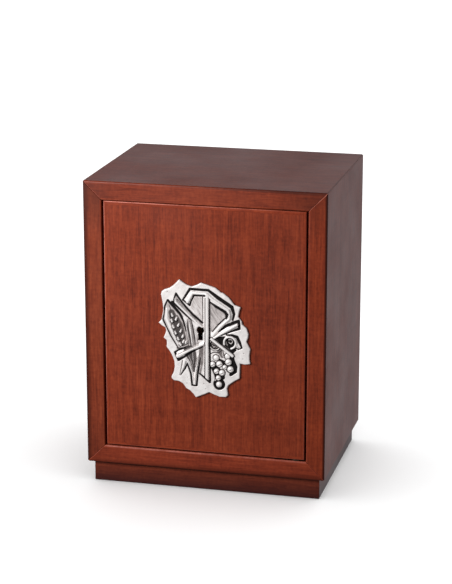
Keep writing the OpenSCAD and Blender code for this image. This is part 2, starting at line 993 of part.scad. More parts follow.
top_panel();
bottom_panel();
left_side_panel();
right_side_panel();
mitre_biscuits();
back_panel();
back_panel_screws();
plinth_front_rail();
plinth_rear_rail();
plinth_left_rail();
plinth_right_rail();
plinth_corner_blocks();
plinth_screws();
floor_lining();
ceiling_lining();
left_lining();
right_lining();
back_lining();
door_stop();
upper_pivot_plate();
lower_pivot_plate();
upper_pivot_pin();
lower_pivot_pin();
thrust_washer();
pivot_plate_screws();
upper_strike_plate();
lower_strike_plate();
strike_screws();
door_panel();
door_left_lipping();
door_right_lipping();
door_top_lipping();
door_bottom_lipping();
upper_pivot_bush();
lower_pivot_bush();
bush_screws();
medallion();
medallion_studs();
medallion_washers();
medallion_nuts();
lock_case();
lock_cover();
lock_screws();
key_rotor();
upper_rod();
lower_rod();
rod_guides();
guide_screws();
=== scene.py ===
"""Looks of a tabernacle box: a mitred veneered cabinet on a plinth, a casting on its door."""

import json
import math

import bmesh
import bpy
import numpy as np
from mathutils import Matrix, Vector


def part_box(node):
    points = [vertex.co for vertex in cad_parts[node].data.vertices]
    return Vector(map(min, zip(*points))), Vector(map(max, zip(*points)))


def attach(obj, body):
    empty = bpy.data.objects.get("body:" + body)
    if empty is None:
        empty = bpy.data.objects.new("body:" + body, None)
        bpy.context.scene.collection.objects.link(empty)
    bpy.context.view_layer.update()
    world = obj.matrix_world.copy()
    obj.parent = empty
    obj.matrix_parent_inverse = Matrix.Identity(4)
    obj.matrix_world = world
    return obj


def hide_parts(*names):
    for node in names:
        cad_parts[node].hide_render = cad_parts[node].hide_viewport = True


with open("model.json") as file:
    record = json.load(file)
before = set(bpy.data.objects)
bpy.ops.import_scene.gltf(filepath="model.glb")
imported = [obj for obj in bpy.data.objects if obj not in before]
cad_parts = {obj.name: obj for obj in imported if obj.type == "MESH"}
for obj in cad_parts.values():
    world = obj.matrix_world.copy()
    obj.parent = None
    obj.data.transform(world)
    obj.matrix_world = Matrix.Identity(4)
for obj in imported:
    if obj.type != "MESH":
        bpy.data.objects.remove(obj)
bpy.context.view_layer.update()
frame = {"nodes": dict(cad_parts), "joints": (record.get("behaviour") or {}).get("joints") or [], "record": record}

MM = 0.001
TINY = 0.01 * MM


# ---------------------------------------------------------------- sizes from the frame

def corners(node):
    low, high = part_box(node)
    return Vector(low), Vector(high)


top_low, top_high = corners("top_panel")
bottom_low, bottom_high = corners("bottom_panel")

FRONT_Y = top_low.y
REAR_Y = top_high.y
HALF_WIDTH = top_high.x
BOARD = top_high.z - top_low.z
CARCASS_LOW = bottom_low.z
CARCASS_HIGH = top_high.z
CARCASS_MID = (CARCASS_LOW + CARCASS_HIGH) / 2
REBATE_Y = corners("back_panel")[0].y
REBATE_LIP = 10 * MM
DOOR_REAR = corners("door_panel")[1].y
KEY_AXIS = next(j for j in frame["joints"] if j["name"] == "key_turn")["pos_m"]


# ---------------------------------------------------------------- mesh helpers

def add_object(name, data):
    thing = bpy.data.objects.new(name, data)
    bpy.context.scene.collection.objects.link(thing)
    return thing


def from_bmesh(name, bm, material=None, sharp=35):
    """Turns a bmesh into an object with smooth faces, and sharp edges above an angle in degrees."""
    bmesh.ops.recalc_face_normals(bm, faces=bm.faces)
    for face in bm.faces:
        face.smooth = True
    for edge in bm.edges:
        edge.smooth = len(edge.link_faces) == 2 and edge.calc_face_angle() < math.radians(sharp)
    mesh = bpy.data.meshes.new(name)
    bm.to_mesh(mesh)
    bm.free()
    if material:
        mesh.materials.append(material)
    return add_object(name, mesh)


def stands_for(piece, node, body):
    """The piece rides on a body and replaces a CAD node."""
    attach(piece, body)
    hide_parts(node)
    return piece


def bridge(bm, first, second):
    """A band of faces between two closed rings of vertices."""
    fours = zip(first, first[1:] + first[:1], second[1:] + second[:1], second)
    return [bm.faces.new(four) for four in fours]


def box_bmesh(low, high):
    bm = bmesh.new()
    bmesh.ops.create_cube(bm, size=1)
    for vert in bm.verts:
        vert.co = Vector([low[i] if vert.co[i] < 0 else high[i] for i in range(3)])
    return bm


def weight_normals(piece):
    modifier = piece.modifiers.new("weighted_normals", "WEIGHTED_NORMAL")
    modifier.keep_sharp = True


def cut(piece, cutters):
    """Subtracts each cutter from the piece and applies the result."""
    for cutter in cutters:
        modifier = piece.modifiers.new("cut", "BOOLEAN")
        modifier.operation = "DIFFERENCE"
        modifier.solver = "EXACT"
        modifier.object = cutter
    graph = bpy.context.evaluated_depsgraph_get()
    mesh = bpy.data.meshes.new_from_object(piece.evaluated_get(graph))
    piece.modifiers.clear()
    piece.data = mesh
    for cutter in cutters:
        bpy.data.objects.remove(cutter, do_unlink=True)


def box_cutter(low, high):
    return from_bmesh("cutter", box_bmesh(low, high))


def round_cutter(centre, radius, length, axis):
    """A cylinder along "x", "y" or "z" with its middle at centre."""
    bm = bmesh.new()
    bmesh.ops.create_cone(bm, cap_ends=True, segments=40, radius1=radius, radius2=radius,
                          depth=length)
    direction = Vector([float(axis == name) for name in "xyz"])
    bmesh.ops.rotate(bm, verts=bm.verts, matrix=direction.to_track_quat("Z", "Y").to_matrix())
    bmesh.ops.translate(bm, verts=bm.verts, vec=centre)
    return from_bmesh("cutter", bm)


def keep_cad(node, material, edge=0.0, segments=2):
    """Gives a CAD node its material and, with edge above zero, softly rounded edges."""
    piece = frame["nodes"][node]
    piece.data.materials.clear()
    piece.data.materials.append(material)
    if edge:
        weld = piece.modifiers.new("weld", "WELD")
        weld.merge_threshold = TINY
        bevel = piece.modifiers.new("bevel", "BEVEL")
        bevel.width = edge
        bevel.segments = segments
        bevel.limit_method = "ANGLE"
        bevel.angle_limit = math.radians(40)
        bevel.use_clamp_overlap = True
        bevel.harden_normals = False
        weight_normals(piece)


def solids(node):
    """The vertex arrays of each separate solid in a CAD node."""
    bm = bmesh.new()
    bm.from_mesh(frame["nodes"][node].data)
    bmesh.ops.remove_doubles(bm, verts=bm.verts, dist=TINY / 2)
    seen, groups = set(), []
    for start in bm.verts:
        if start in seen:
            continue
        seen.add(start)
        stack, group = [start], []
        while stack:
            vert = stack.pop()
            group.append(vert.co[:])
            for edge in vert.link_edges:
                other = edge.other_vert(vert)
                if other not in seen:
                    seen.add(other)
                    stack.append(other)
        groups.append(np.array(group))
    bm.free()
    return sorted(groups, key=lambda g: tuple(np.round(g.min(axis=0), 4)))


# ---------------------------------------------------------------- material helpers

class Field:
    """A value that varies over a surface; arithmetic on it adds nodes to its shader."""

    def __init__(self, shader, socket):
        self.shader, self.socket = shader, socket

    def __add__(self, other):
        return self.shader.math("ADD", self, other)

    def __sub__(self, other):
        return self.shader.math("SUBTRACT", self, other)

    def __mul__(self, other):
        return self.shader.math("MULTIPLY", self, other)

    __radd__ = __add__

    def at_least(self, limit):
        return self.shader.math("MAXIMUM", self, limit)

    def at_most(self, limit):
        return self.shader.math("MINIMUM", self, limit)


class Shader:
    """A material's node tree, with short ways to add the nodes used here."""

    def __init__(self, name):
        self.material = bpy.data.materials.new(name)
        self.material.use_nodes = True
        self.tree = self.material.node_tree

    def link(self, value, socket):
        if isinstance(value, Field):
            self.tree.links.new(value.socket, socket)
        else:
            socket.default_value = value

    def add(self, kind, output, inputs=None, **settings):
        """A node with its settings and inputs; returns one of its outputs as a field."""
        node = self.tree.nodes.new(kind)
        for key, value in settings.items():
            setattr(node, key, value)
        for key, value in (inputs or {}).items():
            self.link(value, node.inputs[key])
        return Field(self, node.outputs[output])

    def set(self, socket, value):
        self.link(value, self.tree.nodes["Principled BSDF"].inputs[socket])

    def place(self, scale=(1, 1, 1), offset=(0, 0, 0)):
        here = self.add("ShaderNodeTexCoord", "Object")
        return self.add("ShaderNodeMapping", "Vector",
                        {"Vector": here, "Scale": scale, "Location": offset})

    def noise(self, vector, scale, detail, roughness, distortion=0.0):
        return self.add("ShaderNodeTexNoise", "Fac", {
            "Vector": vector, "Scale": scale, "Detail": detail, "Roughness": roughness,
            "Distortion": distortion})

    def remap(self, value, low, high, out_low=0.0, out_high=1.0):
        return self.add("ShaderNodeMapRange", "Result", {
            "Value": value, "From Min": low, "From Max": high, "To Min": out_low,
            "To Max": out_high})

    def math(self, operation, a, b):
        return self.add("ShaderNodeMath", 0, {0: a, 1: b}, operation=operation)

    def mix(self, factor, a, b):
        return self.add("ShaderNodeMix", 2, {0: factor, 6: a, 7: b}, data_type="RGBA")

    def ramp(self, value, stops):
        blend = self.add("ShaderNodeValToRGB", "Color", {"Fac": value})
        elements = blend.socket.node.color_ramp.elements
        while len(elements) < len(stops):
            elements.new(0.5)
        for element, (position, shade) in zip(elements, stops):
            element.position = position
            element.color = shade
        return blend

    def attribute(self, name):
        return self.add("ShaderNodeAttribute", "Fac", attribute_name=name)

    def bump(self, height, strength, distance):
        self.set("Normal", self.add("ShaderNodeBump", "Normal", {
            "Strength": strength, "Distance": distance, "Height": height}))


def colour(red, green, blue):
    return (red, green, blue, 1.0)


def shade_of(base, factor, lift=0.0):
    return colour(*[min(1.0, lift + factor * c) for c in base[:3]])


# ---------------------------------------------------------------- materials

GRAIN_AXES = {"x": 0, "y": 1, "z": 2}


def wood(name, grain, seed, dark, middle, light, figure=1.0, gloss=0.36, painted_light_level=0.6, foot=0.0):
    """Stained straight-grained veneer under satin lacquer; grain is the axis it runs along.

    Its colour is painted lighter, a painted highlight, where the mesh attribute it reads is above zero, and
    painted darker, painted shade, where it is below. The last argument is the height up to which the colour is
    painted darker towards the floor, also painted shade.
    """
    s = Shader(name)
    shift = (seed * 0.37, seed * 0.53, seed * 0.71)
    here = s.place(offset=shift)

    def grained(along, across, detail, roughness, distortion=0.0):
        """Noise stretched along the grain, by its waves per metre along and across it."""
        scale = [across] * 3
        scale[GRAIN_AXES[grain]] = along
        return s.noise(s.place(scale, shift), 1.0, detail, roughness, distortion)

    clouds = s.noise(here, 11, 2.0, 0.5)
    bands = grained(1.2, 26, 2.0, 0.5, 0.25)
    streaks = grained(5, 150, 4.0, 0.6, 0.15)
    lines = grained(34, 430, 3.0, 0.6, 0.3)
    fibres = grained(30, 900, 3.0, 0.65)
    flecks = grained(260, 480, 2.0, 0.6)
    rays = grained(430, 120, 2.0, 0.6)
    ripple = grained(110, 16, 2.0, 0.5, 0.4)
    layers = ((clouds, 0.3 * figure), (bands, 0.5 * figure), (streaks, 0.4 * figure), (lines, 0.75),
              (fibres, 0.8), (flecks, 0.5), (rays, 0.34), (ripple, 0.22 * figure))
    tone = sum(((layer - 0.5) * weight for layer, weight in layers), 0.5)
    pores = s.remap(grained(70, 2300, 2.0, 0.5), 0.62, 0.74)
    base = s.ramp(tone, [(0.12, dark), (0.5, middle), (0.88, light)])
    base = s.mix(pores * 0.45, base, dark)

    # painted light: this attribute lightens rounded arrises and mitre lines in patches as painted highlights, and
    # darkens board edges and ends as painted shade
    painted_light = s.attribute("painted_light")
    patchy = s.remap(s.noise(here, 90, 3.0, 0.7), 0.35, 0.6, 0.3, 1.0)
    painted_highlight = (painted_light.at_least(0.0) * patchy * painted_light_level).at_most(0.9)
    painted_shade = (painted_light * -1.0).at_least(0.0).at_most(0.9)
    base = s.mix(painted_highlight, base, shade_of(light, 1.5, 0.13))
    base = s.mix(painted_shade, base, shade_of(dark, 0.3))
    # painted shade: the colour is darkened towards the floor up to the given height
    if foot:
        height = s.add("ShaderNodeSeparateXYZ", "Z", {"Vector": s.place()})
        base = s.mix(s.remap(height, 0.0, foot, 0.86, 0.0), base, colour(0.02, 0.006, 0.008))
    s.set("Base Color", base)

    smudges = s.remap(s.noise(here, 14, 3.0, 0.55), 0.3, 0.7, gloss - 0.04, gloss + 0.06)
    s.set("Roughness", smudges + pores * 0.12)
    s.set("IOR", 1.32)
    s.bump(fibres * 0.5 - pores * 0.7, 0.25, 0.06 * MM)
    return s.material


def stained(name, grain, seed, tint, **more):
    """The cabinet's red-brown stain, with a small difference of tint from board to board."""
    tones = [(0.13, 0.018, 0.0075), (0.24, 0.035, 0.0128), (0.35, 0.058, 0.020)]
    dark, middle, light = [colour(*[c * t for c, t in zip(tone, tint)]) for tone in tones]
    return wood(name, grain, seed, dark, middle, light, **more)


def antique_silver():
    """Silver-plated casting: bright where rubbed, blackened where the patina attribute is high; on the side walls
    that blackening is painted shade.
    """
    s = Shader("antique_silver")
    fine = s.noise(s.place(), 900, 4.0, 0.65)
    coarse = s.noise(s.place(offset=(0.3, 0.1, 0.2)), 150, 3.0, 0.6)
    pits = s.remap(s.noise(s.place(offset=(0.7, 0.2, 0.9)), 420, 2.0, 0.5), 0.66, 0.78)
    patina = s.attribute("patina") + (coarse - 0.5) * 0.30 + pits * 0.18 + (fine - 0.5) * 0.16
    s.set("Base Color", s.ramp(patina, [
        (0.02, colour(1.0, 0.95, 0.93)), (0.3, colour(0.62, 0.56, 0.545)),
        (0.56, colour(0.17, 0.145, 0.14)), (0.85, colour(0.009, 0.007, 0.007))]))
    s.set("Metallic", s.remap(patina, 0.2, 0.9, 0.15, 0.12))
    s.set("Specular IOR Level", s.remap(patina, 0.3, 0.8, 0.5, 0.12))
    s.set("Roughness", s.remap(patina, 0.1, 0.8, 0.40, 0.68) + (fine - 0.5) * 0.12)
    s.bump(fine * 0.4 + coarse * 0.8 - pits * 0.7, 0.35, 0.12 * MM)
    return s.material


def brushed_metal(name, base_colour, along, roughness, seed):
    """Metal with a fine brushed or drawn surface along an axis, and dull patches."""
    s = Shader(name)
    scale = [1300] * 3
    scale[GRAIN_AXES[along]] = 22
    lines = s.noise(s.place(scale, (seed, seed * 0.7, seed * 0.3)), 1.0, 3.0, 0.6)
    dirt = s.remap(s.noise(s.place(offset=(seed, 0.4, 0.8)), 130, 3.0, 0.6), 0.5, 0.75, 0.0, 0.36)
    darker = shade_of(base_colour, 0.55)
    base = s.mix(dirt, colour(*base_colour), darker)
    s.set("Base Color", s.mix(s.remap(lines, 0.35, 0.65, 0.0, 0.45), base, darker))
    s.set("Metallic", 0.8)
    s.set("Roughness", s.remap(lines, 0.3, 0.7, roughness - 0.06, roughness + 0.08) + dirt * 0.3)
    s.bump(lines, 0.15, 0.02 * MM)
    return s.material


def ivory_satin():
    """Ivory satin: floats along one way, a fine weave, and a soft sheen."""
    s = Shader("ivory_satin")
    weave = s.add("ShaderNodeTexWave", "Fac", {
        "Vector": s.place(), "Scale": 520, "Distortion": 1.2, "Detail": 2.0},
        wave_type="BANDS", bands_direction="DIAGONAL")
    threads = s.noise(s.place((1400, 1400, 160)), 1.0, 3.0, 0.6)
    clouds = s.remap(s.noise(s.place(), 22, 3.0, 0.6), 0.35, 0.65)
    base = s.mix(clouds, colour(0.80, 0.72, 0.56), colour(0.90, 0.84, 0.70))
    base = s.mix(s.remap(threads, 0.35, 0.65, 0.0, 0.35), base, colour(0.66, 0.57, 0.42))
    s.set("Base Color", base)
    s.set("Roughness", s.remap(threads, 0.3, 0.7, 0.34, 0.52))
    s.set("Sheen Weight", 0.35)
    s.set("Sheen Roughness", 0.4)
    s.set("Anisotropic", 0.5)
    s.bump(weave * 0.4 + threads, 0.3, 0.05 * MM)
    return s.material


VENEER = {
    "top": stained("veneer_top", "x", 1.0, (0.91, 1.0, 1.12)),
    "bottom": stained("veneer_bottom", "x", 2.0, (1.03, 1.05, 1.15)),
    "left": stained("veneer_left", "z", 3.0, (0.82, 0.93, 1.02)),
    "right": stained("veneer_right", "z", 4.0, (1.0, 1.0, 0.95)),
    "door": stained("veneer_door", "z", 5.5, (0.98, 1.02, 1.06), figure=1.15),
    "lipping_z": stained("lipping_upright", "z", 6.0, (1.02, 1.0, 0.95), figure=0.6),
    "lipping_x": stained("lipping_level", "x", 7.0, (1.02, 1.0, 0.95), figure=0.6),
    "plinth_x": stained("plinth_level", "x", 8.0, (0.74, 0.86, 1.0), figure=0.8, foot=21 * MM),
    "plinth_y": stained("plinth_side", "y", 9.0, (0.8, 0.88, 1.0), figure=0.8, foot=21 * MM),
    "back": stained("back_board", "z", 10.0, (0.7, 0.75, 0.8), gloss=0.5),
}
BARE_WOOD = wood("raw_beech", "z", 11.0, colour(0.40, 0.26, 0.14), colour(0.56, 0.39, 0.23),
                 colour(0.68, 0.50, 0.32), gloss=0.62, painted_light_level=0.2)
SILVER = antique_silver()
BRONZED = brushed_metal("bronzed_brass", (0.075, 0.052, 0.034), "x", 0.45, 6.0)
BRASS = brushed_metal("satin_brass", (0.78, 0.57, 0.25), "x", 0.3, 1.0)
BRASS_UPRIGHT = brushed_metal("turned_brass", (0.78, 0.57, 0.25), "y", 0.26, 2.0)
STEEL_CASE = brushed_metal("nickelled_steel", (0.70, 0.69, 0.66), "z", 0.34, 3.0)
STEEL_ROD = brushed_metal("drawn_steel", (0.78, 0.79, 0.80), "z", 0.28, 4.0)
STEEL_SCREW = brushed_metal("zinc_plated_steel", (0.66, 0.67, 0.68), "y", 0.3, 5.0)
SATIN = ivory_satin()


# ---------------------------------------------------------------- boards and rails

OUTER_ARRIS = 1.5 * MM
INNER_ARRIS = 1.0 * MM
REAR_ARRIS = 0.5 * MM
SIDE_ARRIS = 1.0 * MM
CORNER_STEPS = 3
JOINT_LINE = 0.65 * MM
INNER_FADE = 1.2 * MM
END_FADE = 50 * MM

# each board's painted light (above zero: painted highlight, below zero: painted shade) at its low and its high
# end: on the outer and the inner front arris, on the front face, and on the mitre's eased edge
ARRIS_PAINTED_LIGHT = {
    "top": {"outer": (0.0, -0.7), "inner": (0.2, 0.0), "face": (-0.32, -0.45), "joint": (5.0, -0.9)},
    "bottom": {"outer": (-0.55, -0.65), "inner": (0.7, 0.5), "face": (-0.25, -0.05),
               "joint": (0.5, 0.2)},
    "left": {"outer": (-0.85, -0.8), "inner": (-0.1, 0.0), "face": (-0.2, -0.5),
             "joint": (0.1, -0.45)},
    "right": {"outer": (-0.85, -0.9), "inner": (0.2, 0.2), "face": (-0.15, -0.35),
              "joint": (0.4, 1.6)},
}

# the width over which the outer arris's painted shade fades on the front face
OUTER_FADE = {"top": 1.6 * MM, "bottom": 6.0 * MM, "left": 5.0 * MM, "right": 1.4 * MM}


def quarter(steps=4):
    return [math.radians(90 * i / steps) for i in range(steps + 1)]


def inset(section, width):
    """A closed section moved inwards by a width."""
    points = [Vector(point) for point in section]
    edges = [after - before for before, after in zip(points, points[1:] + points[:1])]
    turn = sum(before.cross(after) for before, after in zip(points, points[1:] + points[:1]))
    side = 1 if turn > 0 else -1
    normals = [Vector((-edge.y, edge.x)).normalized() * side for edge in edges]
    moved = []
    for i, point in enumerate(points):
        both = normals[i - 1] + normals[i]
        moved.append(point + both * (2 * width / both.length_squared))
    return moved


def mitred_bar(name, node, material, section, half, place, corner, joint, painted_light_rule=None,
               joint_painted_light=(0.0, 0.0)):
    """A carcass bar of any section with 45 degree ends, each end chamfered towards its mitre.

    section is a closed list of (across, depth) points, depth counted inwards from the outer face;
    place(along, across, depth) gives the point in the part's frame. corner is the radius of the outer
    arris at each mitre, and joint the width of the chamfer along the mitre line.
    The rule, given (across, depth, high_end, at_end), gives the painted light (painted highlight above zero,
    painted shade below) of the section's points at the two ends and, with at_end false, END_FADE further in. The
    last argument gives that of the two chamfers.
    """
    bm = bmesh.new()
    painted_light = bm.loops.layers.float.new("painted_light")
    chamfer = CORNER_STEPS + 1

    def station(step):
        """(along, across, depth) of the section's points at one step from the middle outwards."""
        if step == chamfer:
            return [(half - depth, across, depth) for across, depth in inset(section, joint)]
        if step < 0:
            return [(half - END_FADE, across, depth) for across, depth in section]
        turn = math.radians(45 * step / CORNER_STEPS)
        points = []
        for across, depth in section:
            sunk = max(depth, corner * (1 - math.cos(turn)))
            reach = half - corner * (1 - math.sin(turn))
            points.append((min(reach, half - sunk - joint), across, sunk))
        return points

    steps = list(range(-1, chamfer + 1))
    stations = [(-1, step) for step in reversed(steps)] + [(1, step) for step in steps]
    rings = [[bm.verts.new(place(side * along, across, depth))
              for along, across, depth in station(step)] for side, step in stations]
    for k, (a, b) in enumerate(zip(rings, rings[1:])):
        for i, face in enumerate(bridge(bm, a, b)):
            j = (i + 1) % len(section)
            ends = ((i, k), (j, k), (j, k + 1), (i, k + 1))
            eased = chamfer in (stations[k][1], stations[k + 1][1])
            for loop, (point, ring) in zip(face.loops, ends):
                side, step = stations[ring]
                if eased:
                    loop[painted_light] = joint_painted_light[side > 0]
                elif painted_light_rule:
                    loop[painted_light] = painted_light_rule(*section[point], side > 0, step >= 0)
    bm.faces.new(rings[0])
    bm.faces.new(rings[-1])
    bmesh.ops.remove_doubles(bm, verts=bm.verts, dist=0.2 * TINY)
    bmesh.ops.dissolve_degenerate(bm, edges=bm.edges, dist=0.2 * TINY)
    piece = from_bmesh(name, bm, material)
    weight_normals(piece)
    return stands_for(piece, node, "carcass")


def board_section(fade):
    """Section of a carcass board: Y across and depth from the outer face, rear rebate included."""
    outer = [(FRONT_Y + OUTER_ARRIS + INNER_FADE, 0.0)]
    outer += [(FRONT_Y + OUTER_ARRIS * (1 - math.sin(a)), OUTER_ARRIS * (1 - math.cos(a)))
              for a in quarter()]
    outer += [(FRONT_Y, OUTER_ARRIS + fade), (FRONT_Y, BOARD - INNER_ARRIS - INNER_FADE)]
    inner = [(FRONT_Y + INNER_ARRIS * (1 - math.cos(a)), BOARD - INNER_ARRIS * (1 - math.sin(a)))
             for a in quarter()]
    inner += [(FRONT_Y + OUTER_ARRIS + INNER_FADE, BOARD)]
    rear = [(REBATE_Y, BOARD), (REBATE_Y, REBATE_LIP), (REAR_Y, REBATE_LIP),
            (REAR_Y, REAR_ARRIS), (REAR_Y - REAR_ARRIS, 0.0)]
    return outer + inner + rear


def arris_painted_light(side):
    """The painted light of a board's front arrises and face, painted highlight or painted shade, fading out on the
    faces beside them.
    """
    painted_light_level = ARRIS_PAINTED_LIGHT[side]

    def rule(across, depth, high_end, at_end):
        if across > FRONT_Y + OUTER_ARRIS + TINY:
            return 0.0
        if depth < OUTER_ARRIS + TINY:
            return painted_light_level["outer"][high_end]
        if depth > BOARD - INNER_ARRIS - TINY:
            return painted_light_level["inner"][high_end]
        return painted_light_level["face"][high_end] if at_end else 0.0

    return rule


def carcass_boards():
    half_height = (CARCASS_HIGH - CARCASS_LOW) / 2
    places = {
        "top": (HALF_WIDTH, lambda u, y, t: (u, y, CARCASS_HIGH - t)),
        "bottom": (HALF_WIDTH, lambda u, y, t: (u, y, CARCASS_LOW + t)),
        "left": (half_height, lambda u, y, t: (-HALF_WIDTH + t, y, CARCASS_MID + u)),
        "right": (half_height, lambda u, y, t: (HALF_WIDTH - t, y, CARCASS_MID + u)),
    }
    nodes = {"top": "top_panel", "bottom": "bottom_panel",
             "left": "left_side_panel", "right": "right_side_panel"}
    return {side: mitred_bar(f"{side}_board", nodes[side], VENEER[side],
                             board_section(OUTER_FADE[side]), half, place, SIDE_ARRIS, JOINT_LINE,
                             arris_painted_light(side), ARRIS_PAINTED_LIGHT[side]["joint"])
            for side, (half, place) in places.items()}


ROD_SOCKET_DEPTH = 12.5 * MM
# how far its rack widens a rod past the shank that enters the board
RACK_REACH = 2.1 * MM
# how far a cutter stands out of what it cuts
PROUD = 1 * MM


def socket_cutters(prefix, side):
    """Recesses in a board for its pivot plate, strike plate and rod; side +1 is the top board."""
    cutters = []
    for node in (f"{prefix}_pivot_plate", f"{prefix}_strike_plate"):
        low, high = corners(node)
        open_end = low if side > 0 else high
        open_end.z -= side * PROUD
        cutters.append(box_cutter(low, high))
    rod_low, rod_high = corners(f"{prefix}_rod")
    half = (rod_high.x - rod_low.x - RACK_REACH) / 2 + PROUD
    centre = (low.x + high.x) / 2
    face = top_low.z if side > 0 else bottom_high.z
    ends = sorted((face, face + side * ROD_SOCKET_DEPTH))
    cutters.append(box_cutter((centre - half, rod_low.y - PROUD, ends[0]),
                              (centre + half, rod_high.y + PROUD, ends[1])))
    return cutters


def anchor_cutters(z, length):
    """Cutters for the anchor holes, where the record's mount has them."""
    mount = next(m for m in frame["record"]["mounts"] if m["name"] == "anchor_holes")
    dims, (x, y, _) = mount["dims"], mount["pos_m"]
    half_x, half_y = dims["spacing_x_mm"] * MM / 2, dims["spacing_y_mm"] * MM / 2
    return [round_cutter(Vector((x + sx * half_x, y + sy * half_y, z)), dims["hole_r_mm"] * MM,
                         length, "z") for sx in (-1, 1) for sy in (-1, 1)]


def plinth_rails():
    """Four rails mitred to each other, each with its outer face turned outwards."""
    low, high = corners("plinth_front_rail")
    rear_y = corners("plinth_rear_rail")[1].y
    thick, top = high.y - low.y, high.z
    ease, fine = 0.6 * MM, 0.1 * MM
    section = [(ease, 0), (top - fine, 0), (top, fine), (top, thick), (0, thick), (0, ease)]
    mid_y, half_y = (low.y + rear_y) / 2, (rear_y - low.y) / 2
    rails = {
        "front": (high.x, lambda u, z, t: (u, low.y + t, z), "plinth_x"),
        "rear": (high.x, lambda u, z, t: (u, rear_y - t, z), "plinth_x"),
        "left": (half_y, lambda u, z, t: (low.x + t, mid_y + u, z), "plinth_y"),
        "right": (half_y, lambda u, z, t: (high.x - t, mid_y + u, z), "plinth_y"),
    }
    for side, (half, place, material) in rails.items():
        mitred_bar(f"plinth_{side}", f"plinth_{side}_rail", VENEER[material], section, half, place,
                   ease, fine)


# ---------------------------------------------------------------- door

DOOR_ARRIS = 0.8 * MM
DOOR_EASE = 0.12 * MM
DOOR_RISE = 0.45 * MM

# side: piece, CAD node, veneer, and how far its top face is raised
DOOR_PIECES = {
    "panel": ("door_board", "door_panel", "door", 0.0),
    "left": ("door_left_edge", "door_left_lipping", "lipping_z", DOOR_RISE),
    "right": ("door_right_edge", "door_right_lipping", "lipping_z", DOOR_RISE),
    "top": ("door_top_edge", "door_top_lipping", "lipping_x", DOOR_RISE),
    "bottom": ("door_bottom_edge", "door_bottom_lipping", "lipping_x", 0.0),
}


def near(a, b):
    return abs(a - b) < TINY


def eased_box(name, node, material, raised, rounded, painted_highlight_at):
    """A box of the door rebuilt with rounded arrises, and all its other edges just eased.

    rounded says from an edge's middle if it is a rounded one, and the last argument gives the painted
    highlight of such an arris from its place.
    """
    low, high = corners(node)
    high.z += raised
    bm = box_bmesh(low, high)
    painted_light = bm.loops.layers.float.new("painted_light")
    edges = [e for e in bm.edges if rounded((e.verts[0].co + e.verts[1].co) / 2)]
    result = bmesh.ops.bevel(bm, geom=edges, offset=DOOR_ARRIS, segments=4, profile=0.5,
                             affect="EDGES", clamp_overlap=True)
    done = set()
    for face in result["faces"]:
        done.update(face.edges)
        for loop in face.loops:
            loop[painted_light] = painted_highlight_at(loop.vert.co)
    rest = [e for e in bm.edges if e not in done and e.calc_face_angle(0) > math.radians(60)]
    bmesh.ops.bevel(bm, geom=rest, offset=DOOR_EASE, segments=1, affect="EDGES",
                    clamp_overlap=True)
    piece = from_bmesh(name, bm, material)
    weight_normals(piece)
    return stands_for(piece, node, "door")


def door_boards():
    """The door board and its four lippings, with the arrises round the door rounded."""
    low, high = corners("door_left_lipping")
    high.x, high.y = corners("door_right_lipping")[1].x, DOOR_REAR

    def outer_arris(middle):
        sides = near(middle.x, low.x) or near(middle.x, high.x)
        ends = near(middle.z, low.z) or near(middle.z, high.z + DOOR_RISE)
        return (sides or ends) and (near(middle.y, low.y) or near(middle.y, high.y))

    def edge_painted_highlight(point):
        """Painted highlight on the rounded arrises, strongest at the opening end of the door's top arris."""
        if point.z < high.z - DOOR_ARRIS:
            return 0.5
        share = (point.x - low.x) / (high.x - low.x)
        return max(0.1, 2.2 - 3.2 * share)

    return {side: eased_box(name, node, VENEER[veneer], raised, outer_arris, edge_painted_highlight)
            for side, (name, node, veneer, raised) in DOOR_PIECES.items()}


BUSH_PLATE = 2.5 * MM
BARREL_PLAY = 0.05 * MM


def bush_cutters(prefix):
    """The mortise in the door for one pivot bush: its plate's slab and its barrel."""
    low, high = corners(f"{prefix}_pivot_bush")
    vertices = np.concatenate(solids(f"{prefix}_pivot_bush"))
    slab_low, slab_high = low.copy(), high.copy()
    if prefix == "upper":
        slab_low.z, slab_high.z = high.z - BUSH_PLATE, high.z + PROUD
        barrel = vertices[vertices[:, 2] < low.z + TINY]
    else:
        slab_low.z, slab_high.z = low.z - PROUD, low.z + BUSH_PLATE
        barrel = vertices[vertices[:, 2] > high.z - TINY]
    centre = (barrel.min(axis=0) + barrel.max(axis=0)) / 2
    radius = np.ptp(barrel[:, 0]) / 2
    middle = Vector((centre[0], centre[1], (low.z + high.z) / 2))
    return [box_cutter(slab_low, slab_high),
            round_cutter(middle, radius + BARREL_PLAY, high.z - low.z, "z")]


PASSAGE_GROWTH = 2.4
KEYHOLE_STEPS = 28


def keyhole_outline(grow=0.0):
    """Keyhole loop in millimetres about the key's axis: a round head over a slot."""
    radius, half_slot, drop = 3.85 + grow, 2.5 + grow, 10.7 + grow
    start = -math.acos(half_slot / radius)
    sweep = math.pi - 2 * start
    angles = [start + sweep * i / KEYHOLE_STEPS for i in range(KEYHOLE_STEPS + 1)]
    arc = [(radius * math.cos(angle), radius * math.sin(angle)) for angle in angles]
    return arc + [(-half_slot, -drop), (half_slot, -drop)]


def keyhole_cutter():
    """The door's keyhole passage, wider than the keyhole in the casting."""
    bm = bmesh.new()
    near_ring, far_ring = [
        [bm.verts.new((KEY_AXIS[0] + x * MM, y, KEY_AXIS[2] + z * MM))
         for x, z in keyhole_outline(PASSAGE_GROWTH)] for y in (FRONT_Y - PROUD, DOOR_REAR + PROUD)]
    bridge(bm, near_ring, far_ring)
    bm.faces.new(near_ring)
    bm.faces.new(far_ring)
    return from_bmesh("cutter", bm)


# ---------------------------------------------------------------- medallion

# all in millimetres: the height of the casting's origin above the floor, its plate's thickness,
# the spacing of its grid and the rounding of its edge and its keyhole
MEDAL_Z = 150.0
PLATE = 2.8
GRID = 0.36
EDGE_ROUND = 0.9
HOLE_ROUND = 0.6

